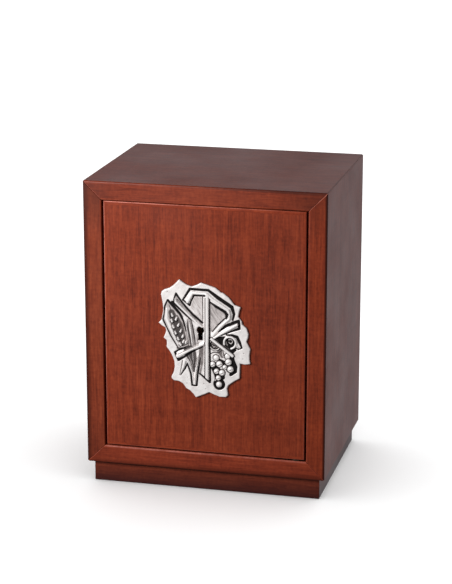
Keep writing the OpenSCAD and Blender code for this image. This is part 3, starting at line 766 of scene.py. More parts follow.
# the ragged edge, from the left round the top, in millimetres about the origin
OUTLINE = [
    (-46.5, 28), (-43.5, 31.5), (-41.7, 40.5), (-42, 48), (-43.2, 54.5), (-44, 58), (-43, 61),
    (-40.5, 63), (-35, 65), (-31.5, 67.5), (-28, 71), (-25, 74.5), (-21, 71.5), (-16.5, 69),
    (-12, 67.8), (-6.5, 70), (-2.5, 72.3), (4, 70.5), (12.5, 68), (16.5, 65), (18.5, 63.2),
    (20, 63.3), (26.5, 58.5), (32, 51.5), (38.5, 49.5), (37, 45), (36, 39.5), (39.5, 35), (40, 32),
    (44.5, 28), (46.5, 22), (46, 18), (44.5, 14), (48.5, 6.5), (47.5, 0), (47.7, -5), (48.5, -9),
    (43, -10), (38, -9.3), (37.5, -25), (32.5, -28), (26, -33), (24.5, -36.5), (25.5, -43.5),
    (23.5, -45.8), (17, -46), (11, -44), (6, -42), (1, -44.5), (-3.5, -46.5), (-8, -48.5),
    (-10, -45.5), (-14, -41.5), (-18, -39.5), (-20, -36.5), (-21.5, -34.5), (-25.5, -32.5),
    (-31, -32), (-33.3, -30), (-33.5, -28), (-31, -23), (-30, -17), (-30.3, -12), (-32, -7),
    (-35, -1.5), (-38.5, 3), (-38, 7), (-38.3, 10), (-41.5, 12.5), (-40, 16), (-38.7, 20),
    (-39.5, 23.3), (-43, 25)]


def lattice_noise(x, z, cell, seed):
    """Smooth value noise between -1 and 1 on a square lattice."""
    rng = np.random.default_rng(seed)
    table = rng.uniform(-1, 1, (256, 256))
    u, v = x / cell + 128, z / cell + 128
    i, j = np.floor(u).astype(int), np.floor(v).astype(int)
    fu, fv = u - i, v - j
    fu, fv = fu * fu * (3 - 2 * fu), fv * fv * (3 - 2 * fv)
    i, j = i % 255, j % 255
    low = table[i, j] * (1 - fu) + table[i + 1, j] * fu
    high = table[i, j + 1] * (1 - fu) + table[i + 1, j + 1] * fu
    return low * (1 - fv) + high * fv


def smooth(value):
    value = np.clip(value, 0, 1)
    return value * value * (3 - 2 * value)


class Relief:
    """Height above the plate and patina, painted stroke by stroke on points in millimetres."""

    def __init__(self, x, z):
        self.x, self.z = x, z
        self.height = 0.14 * lattice_noise(x, z, 7.0, 1) + 0.07 * lattice_noise(x, z, 2.2, 2)
        self.patina = 0.05 + 0.08 * lattice_noise(x, z, 5.0, 3)

    def depth_in(self, points, widths):
        """How deep each point lies inside a stroke whose width changes from point to point."""
        widths = widths if isinstance(widths, (list, tuple)) else [widths] * len(points)
        best = np.full(self.x.shape, -1e9)
        for (ax, az), (bx, bz), wa, wb in zip(points, points[1:], widths, widths[1:]):
            dx, dz = bx - ax, bz - az
            along = ((self.x - ax) * dx + (self.z - az) * dz) / (dx * dx + dz * dz)
            along = np.clip(along, 0, 1)
            far = np.hypot(self.x - ax - along * dx, self.z - az - along * dz)
            best = np.maximum(best, (wa + (wb - wa) * along) / 2 - far)
        return best

    def blend(self, mask, height, patina):
        self.height = self.height * (1 - mask) + height * mask
        self.patina = self.patina * (1 - mask) + patina * mask

    def groove(self, points, widths, depth=0.7, dark=1.0):
        inside = self.depth_in(points, widths)
        self.blend(smooth(inside / 0.5 + 0.35), -depth, dark)

    def shade(self, points, widths, height, dark, soft=1.2):
        inside = self.depth_in(points, widths)
        self.blend(smooth(inside / soft + 0.5), height, dark)

    def ridge(self, points, widths, height, contour=0.0, flank=0.7, dark=0.95, top=0.02):
        """A raised stroke with a crowned top and, with contour above zero, a dark ring round it."""
        inside = self.depth_in(points, widths)
        if contour:
            self.blend(smooth((inside + contour) / 0.5), -0.6, dark)
        crown = np.clip(inside, 0, 3)
        self.blend(smooth(inside / flank + 0.15), height + 0.16 * crown, top)

    def dome(self, centre, radius, height, contour, dark=0.97):
        """A round berry in a dark ring."""
        far = np.hypot(self.x - centre[0], self.z - centre[1])
        self.blend(smooth((radius + contour - far) / 0.45), -0.6, dark)
        inside = np.clip(1 - (far / radius) ** 2, 0, 1)
        mask = smooth((radius - far) / 0.35 + 0.2)
        shade = np.clip(0.45 - 0.8 * np.sqrt(inside), -0.1, 1)
        self.blend(mask, height * np.sqrt(inside), shade)

    def panel(self, points, height, patina, soft=0.8):
        """A polygon area set to a height and a patina, with tool marks across it."""
        inside = polygon_depth(self.x, self.z, points)
        marks = lattice_noise(self.x + 0.6 * self.z, 0.25 * self.z, 1.2, 7)
        self.blend(smooth(inside / soft + 0.5), height + 0.05 * marks, patina + 0.13 * marks)


def loop_nearest(x, z, loop):
    """Distance to a closed loop, and the nearest point on it."""
    best = np.full(x.shape, 1e9)
    near_x, near_z = x.copy(), z.copy()
    for (ax, az), (bx, bz) in zip(loop, loop[1:] + loop[:1]):
        dx, dz = bx - ax, bz - az
        along = np.clip(((x - ax) * dx + (z - az) * dz) / (dx * dx + dz * dz), 0, 1)
        px, pz = ax + along * dx, az + along * dz
        far = np.hypot(x - px, z - pz)
        closer = far < best
        best = np.where(closer, far, best)
        near_x = np.where(closer, px, near_x)
        near_z = np.where(closer, pz, near_z)
    return best, near_x, near_z


def polygon_depth(x, z, loop):
    """Distance inside a polygon, negative outside."""
    far = loop_nearest(x, z, loop)[0]
    inside = np.zeros(x.shape, bool)
    for (ax, az), (bx, bz) in zip(loop, loop[1:] + loop[:1]):
        crosses = (az > z) != (bz > z)
        slope = (bx - ax) / (bz - az) if bz != az else 0.0
        inside ^= crosses & (x < ax + (z - az) * slope)
    return np.where(inside, far, -far)


def spiral(centre, start, end, turn_from, turn_to, steps=16):
    """Points of a spiral about a centre, from radius start to end."""
    points = []
    for i in range(steps + 1):
        share = i / steps
        angle = math.radians(turn_from + (turn_to - turn_from) * share)
        radius = start + (end - start) * share
        points.append((centre[0] + radius * math.cos(angle), centre[1] + radius * math.sin(angle)))
    return points


def paint_wheat(relief):
    """The ear in its husk, with its grains, and the long leaves beside it."""
    groove, ridge, shade, panel = relief.groove, relief.ridge, relief.shade, relief.panel
    shade([(-30, 45), (-22, 36)], [4, 3], 0.0, 0.45)
    husk = [(-36.5, 52), (-31.5, 47), (-24, 38.5), (-20.5, 31.5), (-17.5, 21), (-15.8, 14), (-15.5, 6),
            (-25, 2), (-33.5, 16), (-41, 32), (-39, 45.5)]
    groove(husk + husk[:1], [2.4, 3.2, 3.0, 2.0, 1.6, 1.4, 1.2, 2.2, 2.8, 3.4, 3.4, 2.6], dark=0.95)
    panel(husk, 0.6, 0.30, soft=1.2)
    groove(husk[:5], [1.8, 2.4, 2.2, 1.4, 0.9])
    shade([(-32.5, 40), (-28.5, 28), (-25, 17), (-21, 8)], [6, 9.5, 9, 6], 0.15, 0.72, soft=1.6)
    shade([(-37.6, 43), (-38, 33), (-31, 17.5), (-26, 7)], [1.8, 2.8, 2.0, 1.0], 1.1, -0.02)
    shade([(-27, 36), (-22, 26), (-18, 12)], [3.0, 3.4, 1.6], 0.2, 0.62)
    groove([(-34.8, 47), (-33, 42), (-32, 39)], [0.6, 1.0, 0.8], depth=0.1, dark=0.7)
    grains = [(-31.8, 37.3, -1), (-27.7, 33.6, 1), (-32.3, 31.4, -1), (-25.4, 27.3, 1),
              (-30.7, 25.2, -1), (-23.0, 21.3, 1), (-28.4, 19.0, -1), (-21.0, 15.8, 1),
              (-25.7, 13.0, -1), (-17.8, 9.6, 1), (-23.4, 7.4, -1), (-20.3, 10.4, 1)]
    for x, z, side in grains:
        ridge([(x - 0.5 * side, z - 1.3), (x + 0.5 * side, z + 1.3)], [2.9, 2.0], 2.1, flank=0.8,
              top=-0.1)
        groove([(x - 1.9, z - 1.0), (x - 0.3, z - 2.6), (x + 1.9, z - 1.4)], [0.7, 1.3, 0.7], depth=0.0,
               dark=0.88)
    groove([(-29.8, 35), (-28.6, 26), (-25.5, 17), (-21, 7)], [0.8, 1.1, 1.0, 0.8], depth=0.1, dark=0.72)


def paint_leaves(relief):
    """The narrow leaves between the ear and the upright, and the ones that hang below."""
    groove, ridge, shade = relief.groove, relief.ridge, relief.shade
    shade([(-14, 34), (-13, 20), (-9, 8)], [4, 9, 10], 0.15, 0.45)
    for leaf in ([(-16.5, 34), (-16, 26), (-13.5, 14), (-12.5, 5)],
                 [(-12.5, 33.5), (-11, 27.5), (-9.2, 17), (-8.2, 7)]):
        groove(leaf, [0.5, 1.3, 1.2, 0.7], depth=0.2, dark=0.8)
    ridge([(-14.3, 33), (-13.3, 24), (-10.9, 7)], [0.8, 2.6, 1.4], 1.0, top=0.05)
    ridge([(-18.4, 33), (-17.0, 24), (-14.2, 8)], [0.6, 1.6, 1.0], 0.9, top=0.1)
    ridge([(-9.8, 28), (-7.8, 19), (-6.2, 9.5)], [0.6, 1.8, 1.2], 0.9, top=0.08)
    shade([(-1.8, 6), (-2.6, -10), (-3.4, -22)], [4.5, 5.6, 2.5], 0.1, 0.52)
    shade([(-14, 0), (-10, -10), (-9.5, -20)], [13, 8, 3], 0.0, 0.72)
    groove([(-21.8, -10), (-22.6, -17), (-24.8, -26)], [0.8, 1.2, 0.6], dark=0.7)
    groove([(-16.5, -13), (-19, -18.5), (-23.8, -26)], [1.6, 1.8, 0.8], dark=0.95)
    ridge([(-18.5, -8), (-20.8, -16.5), (-24.2, -25.5)], [3.0, 3.2, 0.6], 1.2)
    groove([(-16.2, -13), (-12.9, -24), (-11.7, -35.5), (-7.4, -35.8)], [2.0, 2.0, 2.0, 1.8])
    groove([(-2.8, -6), (-5.2, -19), (-6.9, -35.5)], [0.8, 1.7, 2.0])
    ridge([(-20.5, -5.5), (-15.5, -11.5), (-11.2, -22), (-9.7, -34)], [2.0, 1.7, 1.6, 1.8], 1.3)
    ridge([(-15.6, -3), (-11.8, -11.5), (-9.7, -20)], [0.9, 1.1, 0.6], 1.2)
    ridge([(-10.8, 1), (-10.4, -7), (-9.6, -15)], [1.0, 1.3, 0.6], 1.2)
    ridge([(-4.4, -1), (-6.6, -12), (-8.0, -24), (-8.6, -34)], [1.4, 2.8, 2.2, 1.8], 1.4)
    ridge([(-2.4, -14), (-4.6, -26)], [0.9, 0.5], 0.9)
    groove([(-5.5, -5), (-7.6, -16)], 0.5, depth=0.3, dark=0.6)


def paint_vine(relief):
    """Tendrils and the bunch of grapes at the lower right."""
    groove, ridge, shade = relief.groove, relief.ridge, relief.shade
    panel, dome = relief.panel, relief.dome
    shade([(12, 15), (20, 12), (27, 4)], [4, 9, 6], -0.2, 0.74)
    panel([(12, 17), (23, 18.5), (19.5, 9)], -0.6, 0.95)
    groove([(24, 20), (30, 20), (35, 18.5), (37.6, 13), (40, 7.5), (36.5, 5.8), (32.5, 7.5)],
           [1.6, 2.6, 3.4, 3.2, 1.6, 1.6, 1.0])
    panel([(27, 6), (33, 8), (34.5, 4.5), (30.5, 0.5)], -0.6, 1.0)
    shade([(27.4, 12.4), (27.8, 12.4)], 12.6, -0.3, 0.88)
    ridge(spiral((27.6, 12.4), 6.3, 5.9, -75, 200), 2.3, 1.6, flank=0.5, top=-0.1)
    ridge(spiral((28.4, 13.4), 2.6, 1.6, 130, -150), 1.4, 1.3)
    ridge([(23.8, 12.8), (24.6, 10.4), (25.6, 8.4)], [0.9, 1.2, 0.8], 1.2)
    ridge([(33.6, 13.2), (35.2, 9.2), (38.6, 6.4)], [1.2, 1.5, 0.8], 1.5)
    shade([(12, 9), (17, 4), (20, -2)], [9, 7, 5], 0.0, 0.55)
    ridge(spiral((12.6, 9.0), 5.8, 5.2, 120, 330), 1.6, 1.4, contour=0.9, dark=0.9)
    ridge([(9.6, 8.4), (11.2, 6.4), (13.4, 8.0)], [1.0, 1.4, 0.8], 0.9, contour=0.8, dark=0.9)
    groove([(7.5, -1), (11, 1.0), (16, 0.5), (20, 4)], [1.0, 1.4, 1.4, 1.6], depth=0.2, dark=0.75)
    ridge([(20.3, 3.5), (20.2, -1), (22, -5)], [0.8, 1.2, 0.8], 1.2)
    groove([(30.5, -2), (31.5, -7), (33.8, -13), (33.2, -18), (28.5, -21.5)], [2.4, 3.0, 3.4, 3.6, 3.2])
    shade([(11, -13), (15, -20), (16, -27)], [8, 9, 7], -0.6, 1.0)
    shade([(17, -8), (22, -11), (27, -13)], [5, 7, 7], -0.6, 1.0)
    shade([(19, -22), (20, -25)], [7, 5], -0.6, 1.0)
    panel([(24, -4), (30, -2), (33.5, -11), (33, -18), (28.5, -21), (24, -18)], -0.6, 1.0)
    dome((25.2, -2.3), 2.9, 1.1, contour=0.8, dark=0.9)
    dome((13.5, -4.6), 3.1, 1.8, contour=0.8, dark=0.85)
    dome((16.6, -32.4), 3.2, 2.6, contour=3.2, dark=1.0)
    grapes = [(26.3, -8.2, 3.4), (9.9, -11.6, 3.1), (17.0, -10.9, 3.4), (22.6, -13.8, 2.6),
              (28.4, -15.6, 3.4), (14.0, -18.6, 2.9), (19.6, -19.8, 3.2), (15.9, -25.5, 2.8),
              (12.9, -27.8, 0.9)]
    for x, z, radius in grapes:
        dome((x, z), radius, 2.7, contour=0.7)
        if radius > 2:
            groove([(x - 0.75 * radius, z - 0.5 * radius), (x + 0.1 * radius, z - 0.25 * radius),
                    (x + 0.8 * radius, z + 0.2 * radius)], [0.5, 0.9, 0.5], depth=-1.9, dark=0.7)


def paint_monogram(relief):
    """The crossed strokes, the loop and the upright, the upright last and highest."""
    groove, ridge, panel = relief.groove, relief.ridge, relief.panel
    panel([(-13, 47), (-9, 58.5), (-1, 59), (-1, 32)], -0.1, 0.26)
    panel([(7, 52), (24.5, 41), (23.5, 37.5), (8, 22)], -0.1, 0.34)
    groove([(-21, 53.5), (-13.6, 65.3), (5.5, 65.2), (15, 58.3), (29.6, 49.2), (31.8, 42), (30.6, 36)],
           [2.0, 2.8, 2.8, 4.0, 4.0, 3.0, 2.0])
    groove([(-20.5, 53.2), (-13.8, 48.3), (-12.3, 52.8), (-9.4, 58.9), (1.5, 59.2)],
           [1.6, 2.0, 1.6, 1.8, 2.2], dark=0.97)
    groove([(7.4, 52.8), (13.5, 48.8), (22.6, 43.8), (24.6, 41), (23.8, 37.5)],
           [1.6, 2.8, 3.2, 3.4, 2.4])
    groove([(22.5, 37), (15.5, 30), (9.5, 22.5)], [1.6, 1.5, 1.2], dark=0.85)
    loop = [(-15.8, 52.3), (-10.8, 61.7), (3.4, 61.7), (10, 56.2), (26.2, 46.4), (27.7, 41.5),
            (27.2, 37.5), (18, 28.6), (10, 18.5)]
    ridge(loop, [3.8, 3.0, 3.0, 3.4, 2.4, 2.2, 2.8, 3.4, 3.8], 1.9)

    panel([(-28, 60), (-23, 53), (0, 32), (0, 27), (-13, 33), (-31, 50)], 0.3, 0.40)
    groove([(-30.6, 50.5), (-30, 54.5), (-28, 59.8), (-23, 52.6), (-17.5, 46.2), (-10.5, 39), (-0.6, 31)],
           [1.2, 1.4, 2.0, 1.9, 1.9, 2.2, 2.0])
    groove([(-32, 50.8), (-24, 43.4), (-17.5, 37.4), (-12, 33)], [2.4, 2.0, 1.8, 1.0], dark=0.9)
    ridge([(-28.8, 55), (-28.0, 50.9), (-20.9, 44.2), (-11, 35.1), (-1, 26.6)],
          [1.2, 2.6, 2.5, 2.5, 2.5], 1.8, top=-0.06)
    groove([(-26.6, 53.8), (-23.6, 50.4)], [0.8, 0.5], depth=0.6, dark=0.6)
    groove([(-27, 2.4), (-19, 3.6)], [1.6, 1.0], dark=0.75)
    groove([(-18.5, 3.4), (-26.5, 0.4), (-29.6, -2), (-25.8, -9.8), (-19, -5.6), (-10.5, 0.3), (-1, 5.4)],
           [1.2, 2.0, 2.2, 3.0, 2.2, 1.6, 1.0])
    ridge([(-26.2, -5.2), (-14.5, 1.8), (1.5, 9.8)], [4.6, 3.6, 3.2], 1.9, top=-0.06)
    groove([(-26, -3.4), (-14, 3.0), (-4, 7.9)], [0.5, 0.6, 0.4], depth=1.3, dark=0.5)
    groove([(16, 22.8), (23.5, 29.2), (30.5, 32.8), (36.8, 35.4), (37.2, 27.4), (29.5, 24.2), (19, 19.3)],
           [1.4, 3.2, 3.6, 3.0, 3.0, 2.0, 1.4])
    ridge([(10.5, 15.5), (18, 20.6), (26, 25.8), (35, 31.6)], [2.6, 2.8, 3.2, 3.2], 1.8)
    ridge([(9, 14.8), (19, 7.4), (30.5, -1.0)], [3.2, 3.0, 3.4], 2.0, contour=0.7, flank=0.5, top=-0.1)
    groove([(-3.6, -22.8), (6.8, -31)], [1.8, 2.6])
    groove([(6.7, 56), (6.7, 26), (7.2, -29.5)], [1.0, 1.5, 2.2], dark=0.92)
    groove([(-0.4, 58.5), (-0.4, 33)], [1.2, 0.9], depth=0.1, dark=0.75)
    groove([(2.1, 57), (1.9, 30), (1.9, 12), (1.6, -25)], [0.9, 0.7, 0.9, 1.2], depth=0.3, dark=0.97)
    panel([(2.8, 61.5), (5.9, 59.8), (5.9, 25), (5.8, -28.5), (2.6, -26.0)], 2.7, -0.08, soft=0.7)


def paint_rim(relief, depth, keyhole_depth):
    """Rounds the plate's edge and the keyhole's rim, and sinks a few casting pits."""
    relief.patina = np.where(depth < 1.4, relief.patina * np.clip(depth / 1.4, 0.25, 1),
                             relief.patina)
    for gap, radius in ((depth, EDGE_ROUND), (keyhole_depth, HOLE_ROUND)):
        into = np.clip(radius - gap, 0, radius)
        relief.height -= radius - np.sqrt(radius * radius - into * into)
    for pit in ((-37, 61), (0.5, -33), (2.4, -38.5), (-17, -34), (42, 2), (41, -4)):
        far = np.hypot(relief.x - pit[0], relief.z - pit[1])
        mark = smooth((0.9 - far) / 0.6)
        relief.height -= 0.25 * mark
        relief.patina += 0.4 * mark


def medallion():
    """The casting: a painted relief on a fine grid, cut to the ragged outline and the keyhole."""
    key_x = KEY_AXIS[0] / MM
    key_z = KEY_AXIS[2] / MM - MEDAL_Z
    hole = [(key_x + x, key_z + z) for x, z in keyhole_outline()]
    xs = np.arange(-48, 50, GRID)
    zs = np.arange(-50, 76, GRID)
    x, z = [g.copy() for g in np.meshgrid(xs, zs, indexing="ij")]
    inside = np.minimum(polygon_depth(x, z, OUTLINE), -polygon_depth(x, z, hole)) > 0
    cells = inside[:-1, :-1] & inside[1:, :-1] & inside[:-1, 1:] & inside[1:, 1:]
    used = np.zeros(inside.shape, int)
    for di in (0, 1):
        for dj in (0, 1):
            used[di:di + cells.shape[0], dj:dj + cells.shape[1]] += cells
    rim = (used > 0) & (used < 4)
    for loop in (OUTLINE, hole):
        far, near_x, near_z = loop_nearest(x, z, loop)
        snap = rim & (far < 1.6 * GRID)
        x, z = np.where(snap, near_x, x), np.where(snap, near_z, z)

    relief = Relief(x, z)
    for paint in (paint_wheat, paint_leaves, paint_vine, paint_monogram):
        paint(relief)
    paint_rim(relief, loop_nearest(x, z, OUTLINE)[0], loop_nearest(x, z, hole)[0])

    number = np.full(inside.shape, -1)
    keep = used > 0
    number[keep] = np.arange(keep.sum())
    y = FRONT_Y - (PLATE + relief.height[keep]) * MM
    points = np.column_stack([x[keep] * MM, y, (z[keep] + MEDAL_Z) * MM])
    i, j = np.nonzero(cells)
    faces = np.column_stack([number[i, j], number[i + 1, j], number[i + 1, j + 1], number[i, j + 1]])
    mesh = bpy.data.meshes.new("medallion_casting")
    mesh.from_pydata(points.tolist(), [], faces.tolist())
    patina = mesh.attributes.new("patina", "FLOAT", "POINT")
    patina.data.foreach_set("value", relief.patina[keep].astype(np.float32))

    bm = bmesh.new()
    bm.from_mesh(mesh)
    bmesh.ops.remove_doubles(bm, verts=bm.verts, dist=2 * TINY)
    wall = bmesh.ops.extrude_edge_only(bm, edges=[e for e in bm.edges if e.is_boundary])
    layer = bm.verts.layers.float["patina"]
    # painted shade: the casting's side wall is blackened all round, for the dark contour along its edge
    for vert in wall["geom"]:
        if isinstance(vert, bmesh.types.BMVert):
            vert.co.y = FRONT_Y
            vert[layer] = 1.0
    bmesh.ops.triangle_fill(bm, use_beauty=True, edges=[e for e in bm.edges if e.is_boundary])
    piece = from_bmesh("medallion_casting", bm, SILVER, sharp=55)
    stands_for(piece, "medallion", "door")


# ---------------------------------------------------------------- screws

SCREW_SIDES = 28


def screw_frame(vertices, turn):
    """place(x, y, z) from a screw's head outwards, the radius of its head and its length."""
    low, high = vertices.min(axis=0), vertices.max(axis=0)
    axis = int(np.argmax(high - low))
    a, b = [i for i in range(3) if i != axis]
    centre = (low + high) / 2
    spread = [np.ptp(vertices[np.abs(vertices[:, axis] - end) < TINY][:, a])
              for end in (low[axis], high[axis])]
    head, sign = (low[axis], -1) if spread[0] > spread[1] else (high[axis], 1)

    def place(x, y, z):
        point = [0.0, 0.0, 0.0]
        point[a] = centre[a] + x * math.cos(turn) - y * math.sin(turn)
        point[b] = centre[b] + x * math.sin(turn) + y * math.cos(turn)
        point[axis] = head + sign * z
        return point

    return place, float(max(high[a] - low[a], high[b] - low[b])) / 2, float(high[axis] - low[axis])


def add_screw(bm, place, head_r, length):
    """A countersunk wood screw: its head face at z = 0 and its shank along -Z, with a point."""
    shank_r = head_r / 2
    core = shank_r * 0.72
    fine, rim = 2 * TINY, 0.12 * MM
    profile = [(head_r * 0.7, fine), (head_r - rim, 0), (head_r, -rim), (shank_r, shank_r - head_r),
               (shank_r, -length * 0.35), (core, -length * 0.37), (core, 2.2 * shank_r - length),
               (rim, -length)]
    turns = [2 * math.pi * i / SCREW_SIDES for i in range(SCREW_SIDES)]
    rings = [[bm.verts.new(place(radius * math.cos(a), radius * math.sin(a), z)) for a in turns]
             for radius, z in profile]
    for ring, following in zip(rings, rings[1:]):
        bridge(bm, ring, following)
    bm.faces.new(rings[0])
    bm.faces.new(rings[-1])


def add_cross(bm, place, head_r):
    """The four-winged recess of a screw head, tapering inwards."""
    reach, half = head_r * 0.58, head_r * 0.11
    wing = [(reach, -half), (reach, half), (half, half)]
    loop = [(x * c - y * s, x * s + y * c) for c, s in ((1, 0), (0, 1), (-1, 0), (0, -1))
            for x, y in wing]
    top = [bm.verts.new(place(x, y, 0.3 * MM)) for x, y in loop]
    low = [bm.verts.new(place(x * 0.55, y * 0.75, -head_r * 0.6)) for x, y in loop]
    bridge(bm, top, low)
    bm.faces.new(top)
    bm.faces.new(low)


def wood_screws(node, body):
    """Rebuilds every countersunk screw of a CAD node where it is, with a cross recess."""
    screws, recesses = bmesh.new(), bmesh.new()
    for index, vertices in enumerate(solids(node)):
        place, head_r, length = screw_frame(vertices, math.radians(17 + 41 * index))
        add_screw(screws, place, head_r, length)
        add_cross(recesses, place, head_r)
    piece = from_bmesh(f"{node}_cross_head", screws, STEEL_SCREW)
    cut(piece, [from_bmesh("cutter", recesses)])
    stands_for(piece, node, body)


# ---------------------------------------------------------------- lining

SATIN_STEPS = (44, 60)
SATIN_TUCK = 3.5 * MM
SATIN_WAVE = 0.10 * MM


def satin_panel(node, thin_axis, inward, holes=()):
    """Satin over thin padding: crowned face, tucked edges, flat back. inward is the face's side."""
    low, high = corners(node)
    a, b = [i for i in range(3) if i != thin_axis]
    back = low[thin_axis] if inward > 0 else high[thin_axis]
    thick = high[thin_axis] - low[thin_axis]
    bm = bmesh.new()

    def vertex(i, j, is_face):
        """A vertex of the face or of the back, on a grid that is finest at the edges."""
        point = [0.0, 0.0, 0.0]
        for axis, step, steps in zip((a, b), (i, j), SATIN_STEPS):
            share = 0.5 - 0.5 * math.cos(math.pi * step / steps)
            point[axis] = low[axis] + (high[axis] - low[axis]) * share
        edge = min(min(point[axis] - low[axis], high[axis] - point[axis]) for axis in (a, b))
        flat = 1 - min(1.0, edge / SATIN_TUCK)
        tuck = math.sqrt(max(0.0, 1 - flat ** 2))
        wave = SATIN_WAVE * math.sin(point[a] * 173 + 1.7 * math.sin(point[b] * 61)) * tuck
        point[thin_axis] = back + inward * is_face * (thick * (0.35 + 0.60 * tuck) + wave)
        return bm.verts.new(point)

    last_i, last_j = SATIN_STEPS
    rows = [[vertex(i, j, True) for j in range(last_j + 1)] for i in range(last_i + 1)]
    for row, following in zip(rows, rows[1:]):
        for four in zip(row, following, following[1:], row[1:]):
            bm.faces.new(four)
    rim = [(i, 0) for i in range(last_i)] + [(last_i, j) for j in range(last_j)]
    rim += [(last_i - i, last_j - j) for i, j in rim]
    back_rim = [vertex(i, j, False) for i, j in rim]
    bridge(bm, [rows[i][j] for i, j in rim], back_rim)
    bm.faces.new(back_rim)
    piece = from_bmesh(f"{node}_satin", bm, SATIN, sharp=60)
    if holes:
        cut(piece, holes)
    stands_for(piece, node, "carcass")


# ---------------------------------------------------------------- build

FINE_EDGE = 0.12 * MM
MACHINED_EDGE = 0.25 * MM


def build_carcass():
    boards = carcass_boards()
    cut(boards["top"], socket_cutters("upper", 1))
    cut(boards["bottom"], socket_cutters("lower", -1)
        + anchor_cutters((bottom_low.z + bottom_high.z) / 2, 2 * BOARD))
    for side in ("top", "bottom"):
        weight_normals(boards[side])
    plinth_rails()
    keep_cad("back_panel", VENEER["back"], 0.3 * MM)
    keep_cad("door_stop", VENEER["back"], 0.8 * MM, 3)
    keep_cad("mitre_biscuits", BARE_WOOD)
    keep_cad("plinth_corner_blocks", BARE_WOOD, 0.4 * MM)
    for node in ("back_panel_screws", "plinth_screws", "pivot_plate_screws", "strike_screws"):
        wood_screws(node, "carcass")
    for node in ("upper_pivot_plate", "lower_pivot_plate", "upper_strike_plate",
                 "lower_strike_plate", "thrust_washer"):
        keep_cad(node, BRASS if "strike" in node else BRONZED, FINE_EDGE)
    for node in ("upper_pivot_pin", "lower_pivot_pin"):
        keep_cad(node, BRONZED, MACHINED_EDGE)


def build_lining():
    satin_panel("floor_lining", 2, 1, anchor_cutters(corners("floor_lining")[1].z, 10 * MM))
    for side, thin_axis, inward in (("ceiling", 2, -1), ("left", 0, 1), ("right", 0, -1),
                                    ("back", 1, -1)):
        satin_panel(f"{side}_lining", thin_axis, inward)


STUD_HOLE = 2.2 * MM


def build_door():
    pieces = door_boards()
    stud_cutters = []
    for vertices in solids("medallion_studs"):
        x, _, z = (vertices.min(axis=0) + vertices.max(axis=0)) / 2
        middle = Vector((x, (FRONT_Y + DOOR_REAR) / 2, z))
        stud_cutters.append(round_cutter(middle, STUD_HOLE, 2 * BOARD, "y"))
    cut(pieces["panel"], [keyhole_cutter()] + stud_cutters)
    for side, ends in (("panel", ("upper", "lower")), ("top", ("upper",)),
                       ("bottom", ("lower",)), ("right", ("upper", "lower"))):
        for end in ends:
            cut(pieces[side], bush_cutters(end))
        weight_normals(pieces[side])
    medallion()
    wood_screws("bush_screws", "door")
    for node in ("upper_pivot_bush", "lower_pivot_bush"):
        keep_cad(node, BRONZED, FINE_EDGE)
    for node in ("medallion_studs", "medallion_washers", "medallion_nuts"):
        keep_cad(node, STEEL_SCREW, 0.15 * MM)


def build_lock():
    keep_cad("lock_case", STEEL_CASE, 0.3 * MM, 3)
    for node in ("lock_cover", "rod_guides"):
        keep_cad(node, STEEL_CASE, MACHINED_EDGE)
    for node in ("lock_screws", "guide_screws"):
        keep_cad(node, BRASS_UPRIGHT, FINE_EDGE)
    keep_cad("key_rotor", BRASS_UPRIGHT, 0.1 * MM)
    for node in ("upper_rod", "lower_rod"):
        keep_cad(node, STEEL_ROD, MACHINED_EDGE)


# ---------------------------------------------------------------- setting

def floor_material():
    s = Shader("pale_floor")
    grain = s.noise(s.place(), 6.0, 3.0, 0.5)
    s.set("Base Color", s.mix(grain, colour(0.86, 0.86, 0.86), colour(0.90, 0.90, 0.90)))
    s.set("Roughness", 0.85)
    s.set("Specular IOR Level", 0.1)
    return s.material


FLOOR_REACH = 9.0
FLOOR_Z = -0.1 * MM


def floor():
    """A pale floor that takes shadows but throws no light back, so the lamps alone set the tones."""
    bm = bmesh.new()
    bmesh.ops.create_grid(bm, x_segments=4, y_segments=4, size=FLOOR_REACH)
    bmesh.ops.translate(bm, verts=bm.verts, vec=(0, 0, FLOOR_Z))
    ground = from_bmesh("floor", bm, floor_material())
    ground.visible_diffuse = False
    ground.visible_glossy = False
    return ground


def link_ground(lamp, ground, state):
    """Limits a lamp to the floor, or keeps it off the floor."""
    group = bpy.data.collections.new(f"{lamp.name}_receivers")
    group.objects.link(ground)
    lamp.light_linking.receiver_collection = group
    group.collection_objects[0].light_linking.link_state = state


def overhead(ground, strength, spread):
    """Even light from above on the floor alone, soft enough for a contact shadow only."""
    data = bpy.data.lights.new("overhead", "SUN")
    data.energy = strength
    data.angle = math.radians(spread)
    link_ground(add_object("overhead", data), ground, "INCLUDE")


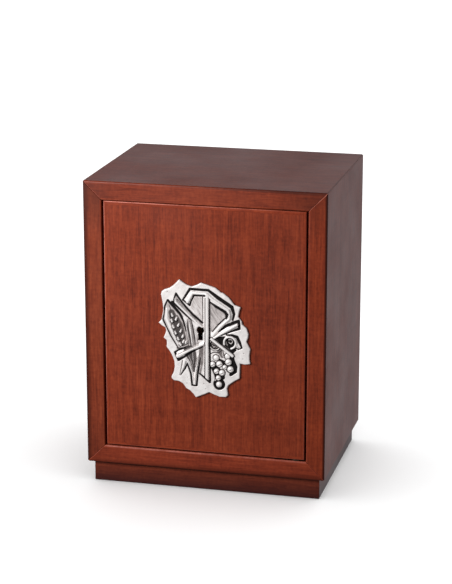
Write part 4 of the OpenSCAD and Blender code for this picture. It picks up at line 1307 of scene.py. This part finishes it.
def aim(thing, place, direction):
    """Puts a lamp or a camera in its place, looking along a direction."""
    thing.location = place
    thing.rotation_mode = "QUATERNION"
    thing.rotation_quaternion = direction.to_track_quat("-Z", "Y")


def softbox(name, place, target, size, watts, ground, tint=(1, 1, 1)):
    """A rectangular area lamp that leaves the floor out."""
    data = bpy.data.lights.new(name, "AREA")
    data.shape = "RECTANGLE"
    data.size, data.size_y = size
    data.energy = watts
    data.color = tint
    lamp = add_object(name, data)
    aim(lamp, place, Vector(target) - Vector(place))
    lamp.visible_camera = False
    link_ground(lamp, ground, "EXCLUDE")


def studio(ground):
    """Three softboxes and a faint sky, which looks as pale as the floor where it is seen itself."""
    world = bpy.data.worlds.new("studio")
    bpy.context.scene.world = world
    world.use_nodes = True
    nodes, links = world.node_tree.nodes, world.node_tree.links
    background = nodes["Background"]
    background.inputs["Color"].default_value = colour(0.96, 0.98, 1.0)
    path = nodes.new("ShaderNodeLightPath")
    strength = nodes.new("ShaderNodeMapRange")
    strength.inputs["To Min"].default_value = 0.16
    strength.inputs["To Max"].default_value = 1.05
    links.new(path.outputs["Is Camera Ray"], strength.inputs["Value"])
    links.new(strength.outputs["Result"], background.inputs["Strength"])
    middle = (0, 0, 0.19)
    softbox("key_softbox", (-0.45, -0.72, 0.5), middle, (0.32, 0.28), 7.2, ground)
    softbox("fill_softbox", (2.4, -0.8, 0.6), middle, (1.0, 1.4), 7, ground)
    softbox("rear_card", (0, 3.2, 0.2), middle, (6.0, 4.0), 28, ground, (1.0, 0.96, 1.0))
    overhead(ground, 4.0, 120)
    bpy.context.scene.view_settings.view_transform = "Standard"


def camera():
    data = bpy.data.cameras.new("camera")
    data.lens = 124.9
    data.sensor_width = 36.0
    azimuth, elevation = math.radians(13.84), math.radians(15.53)
    back = Vector((math.sin(azimuth) * math.cos(elevation),
                   -math.cos(azimuth) * math.cos(elevation), math.sin(elevation)))
    view = add_object("camera", data)
    aim(view, (0.4885, -1.9838, 0.7548), -back)
    bpy.context.scene.camera = view


build_carcass()
build_lining()
build_door()
build_lock()
studio(floor())
camera()
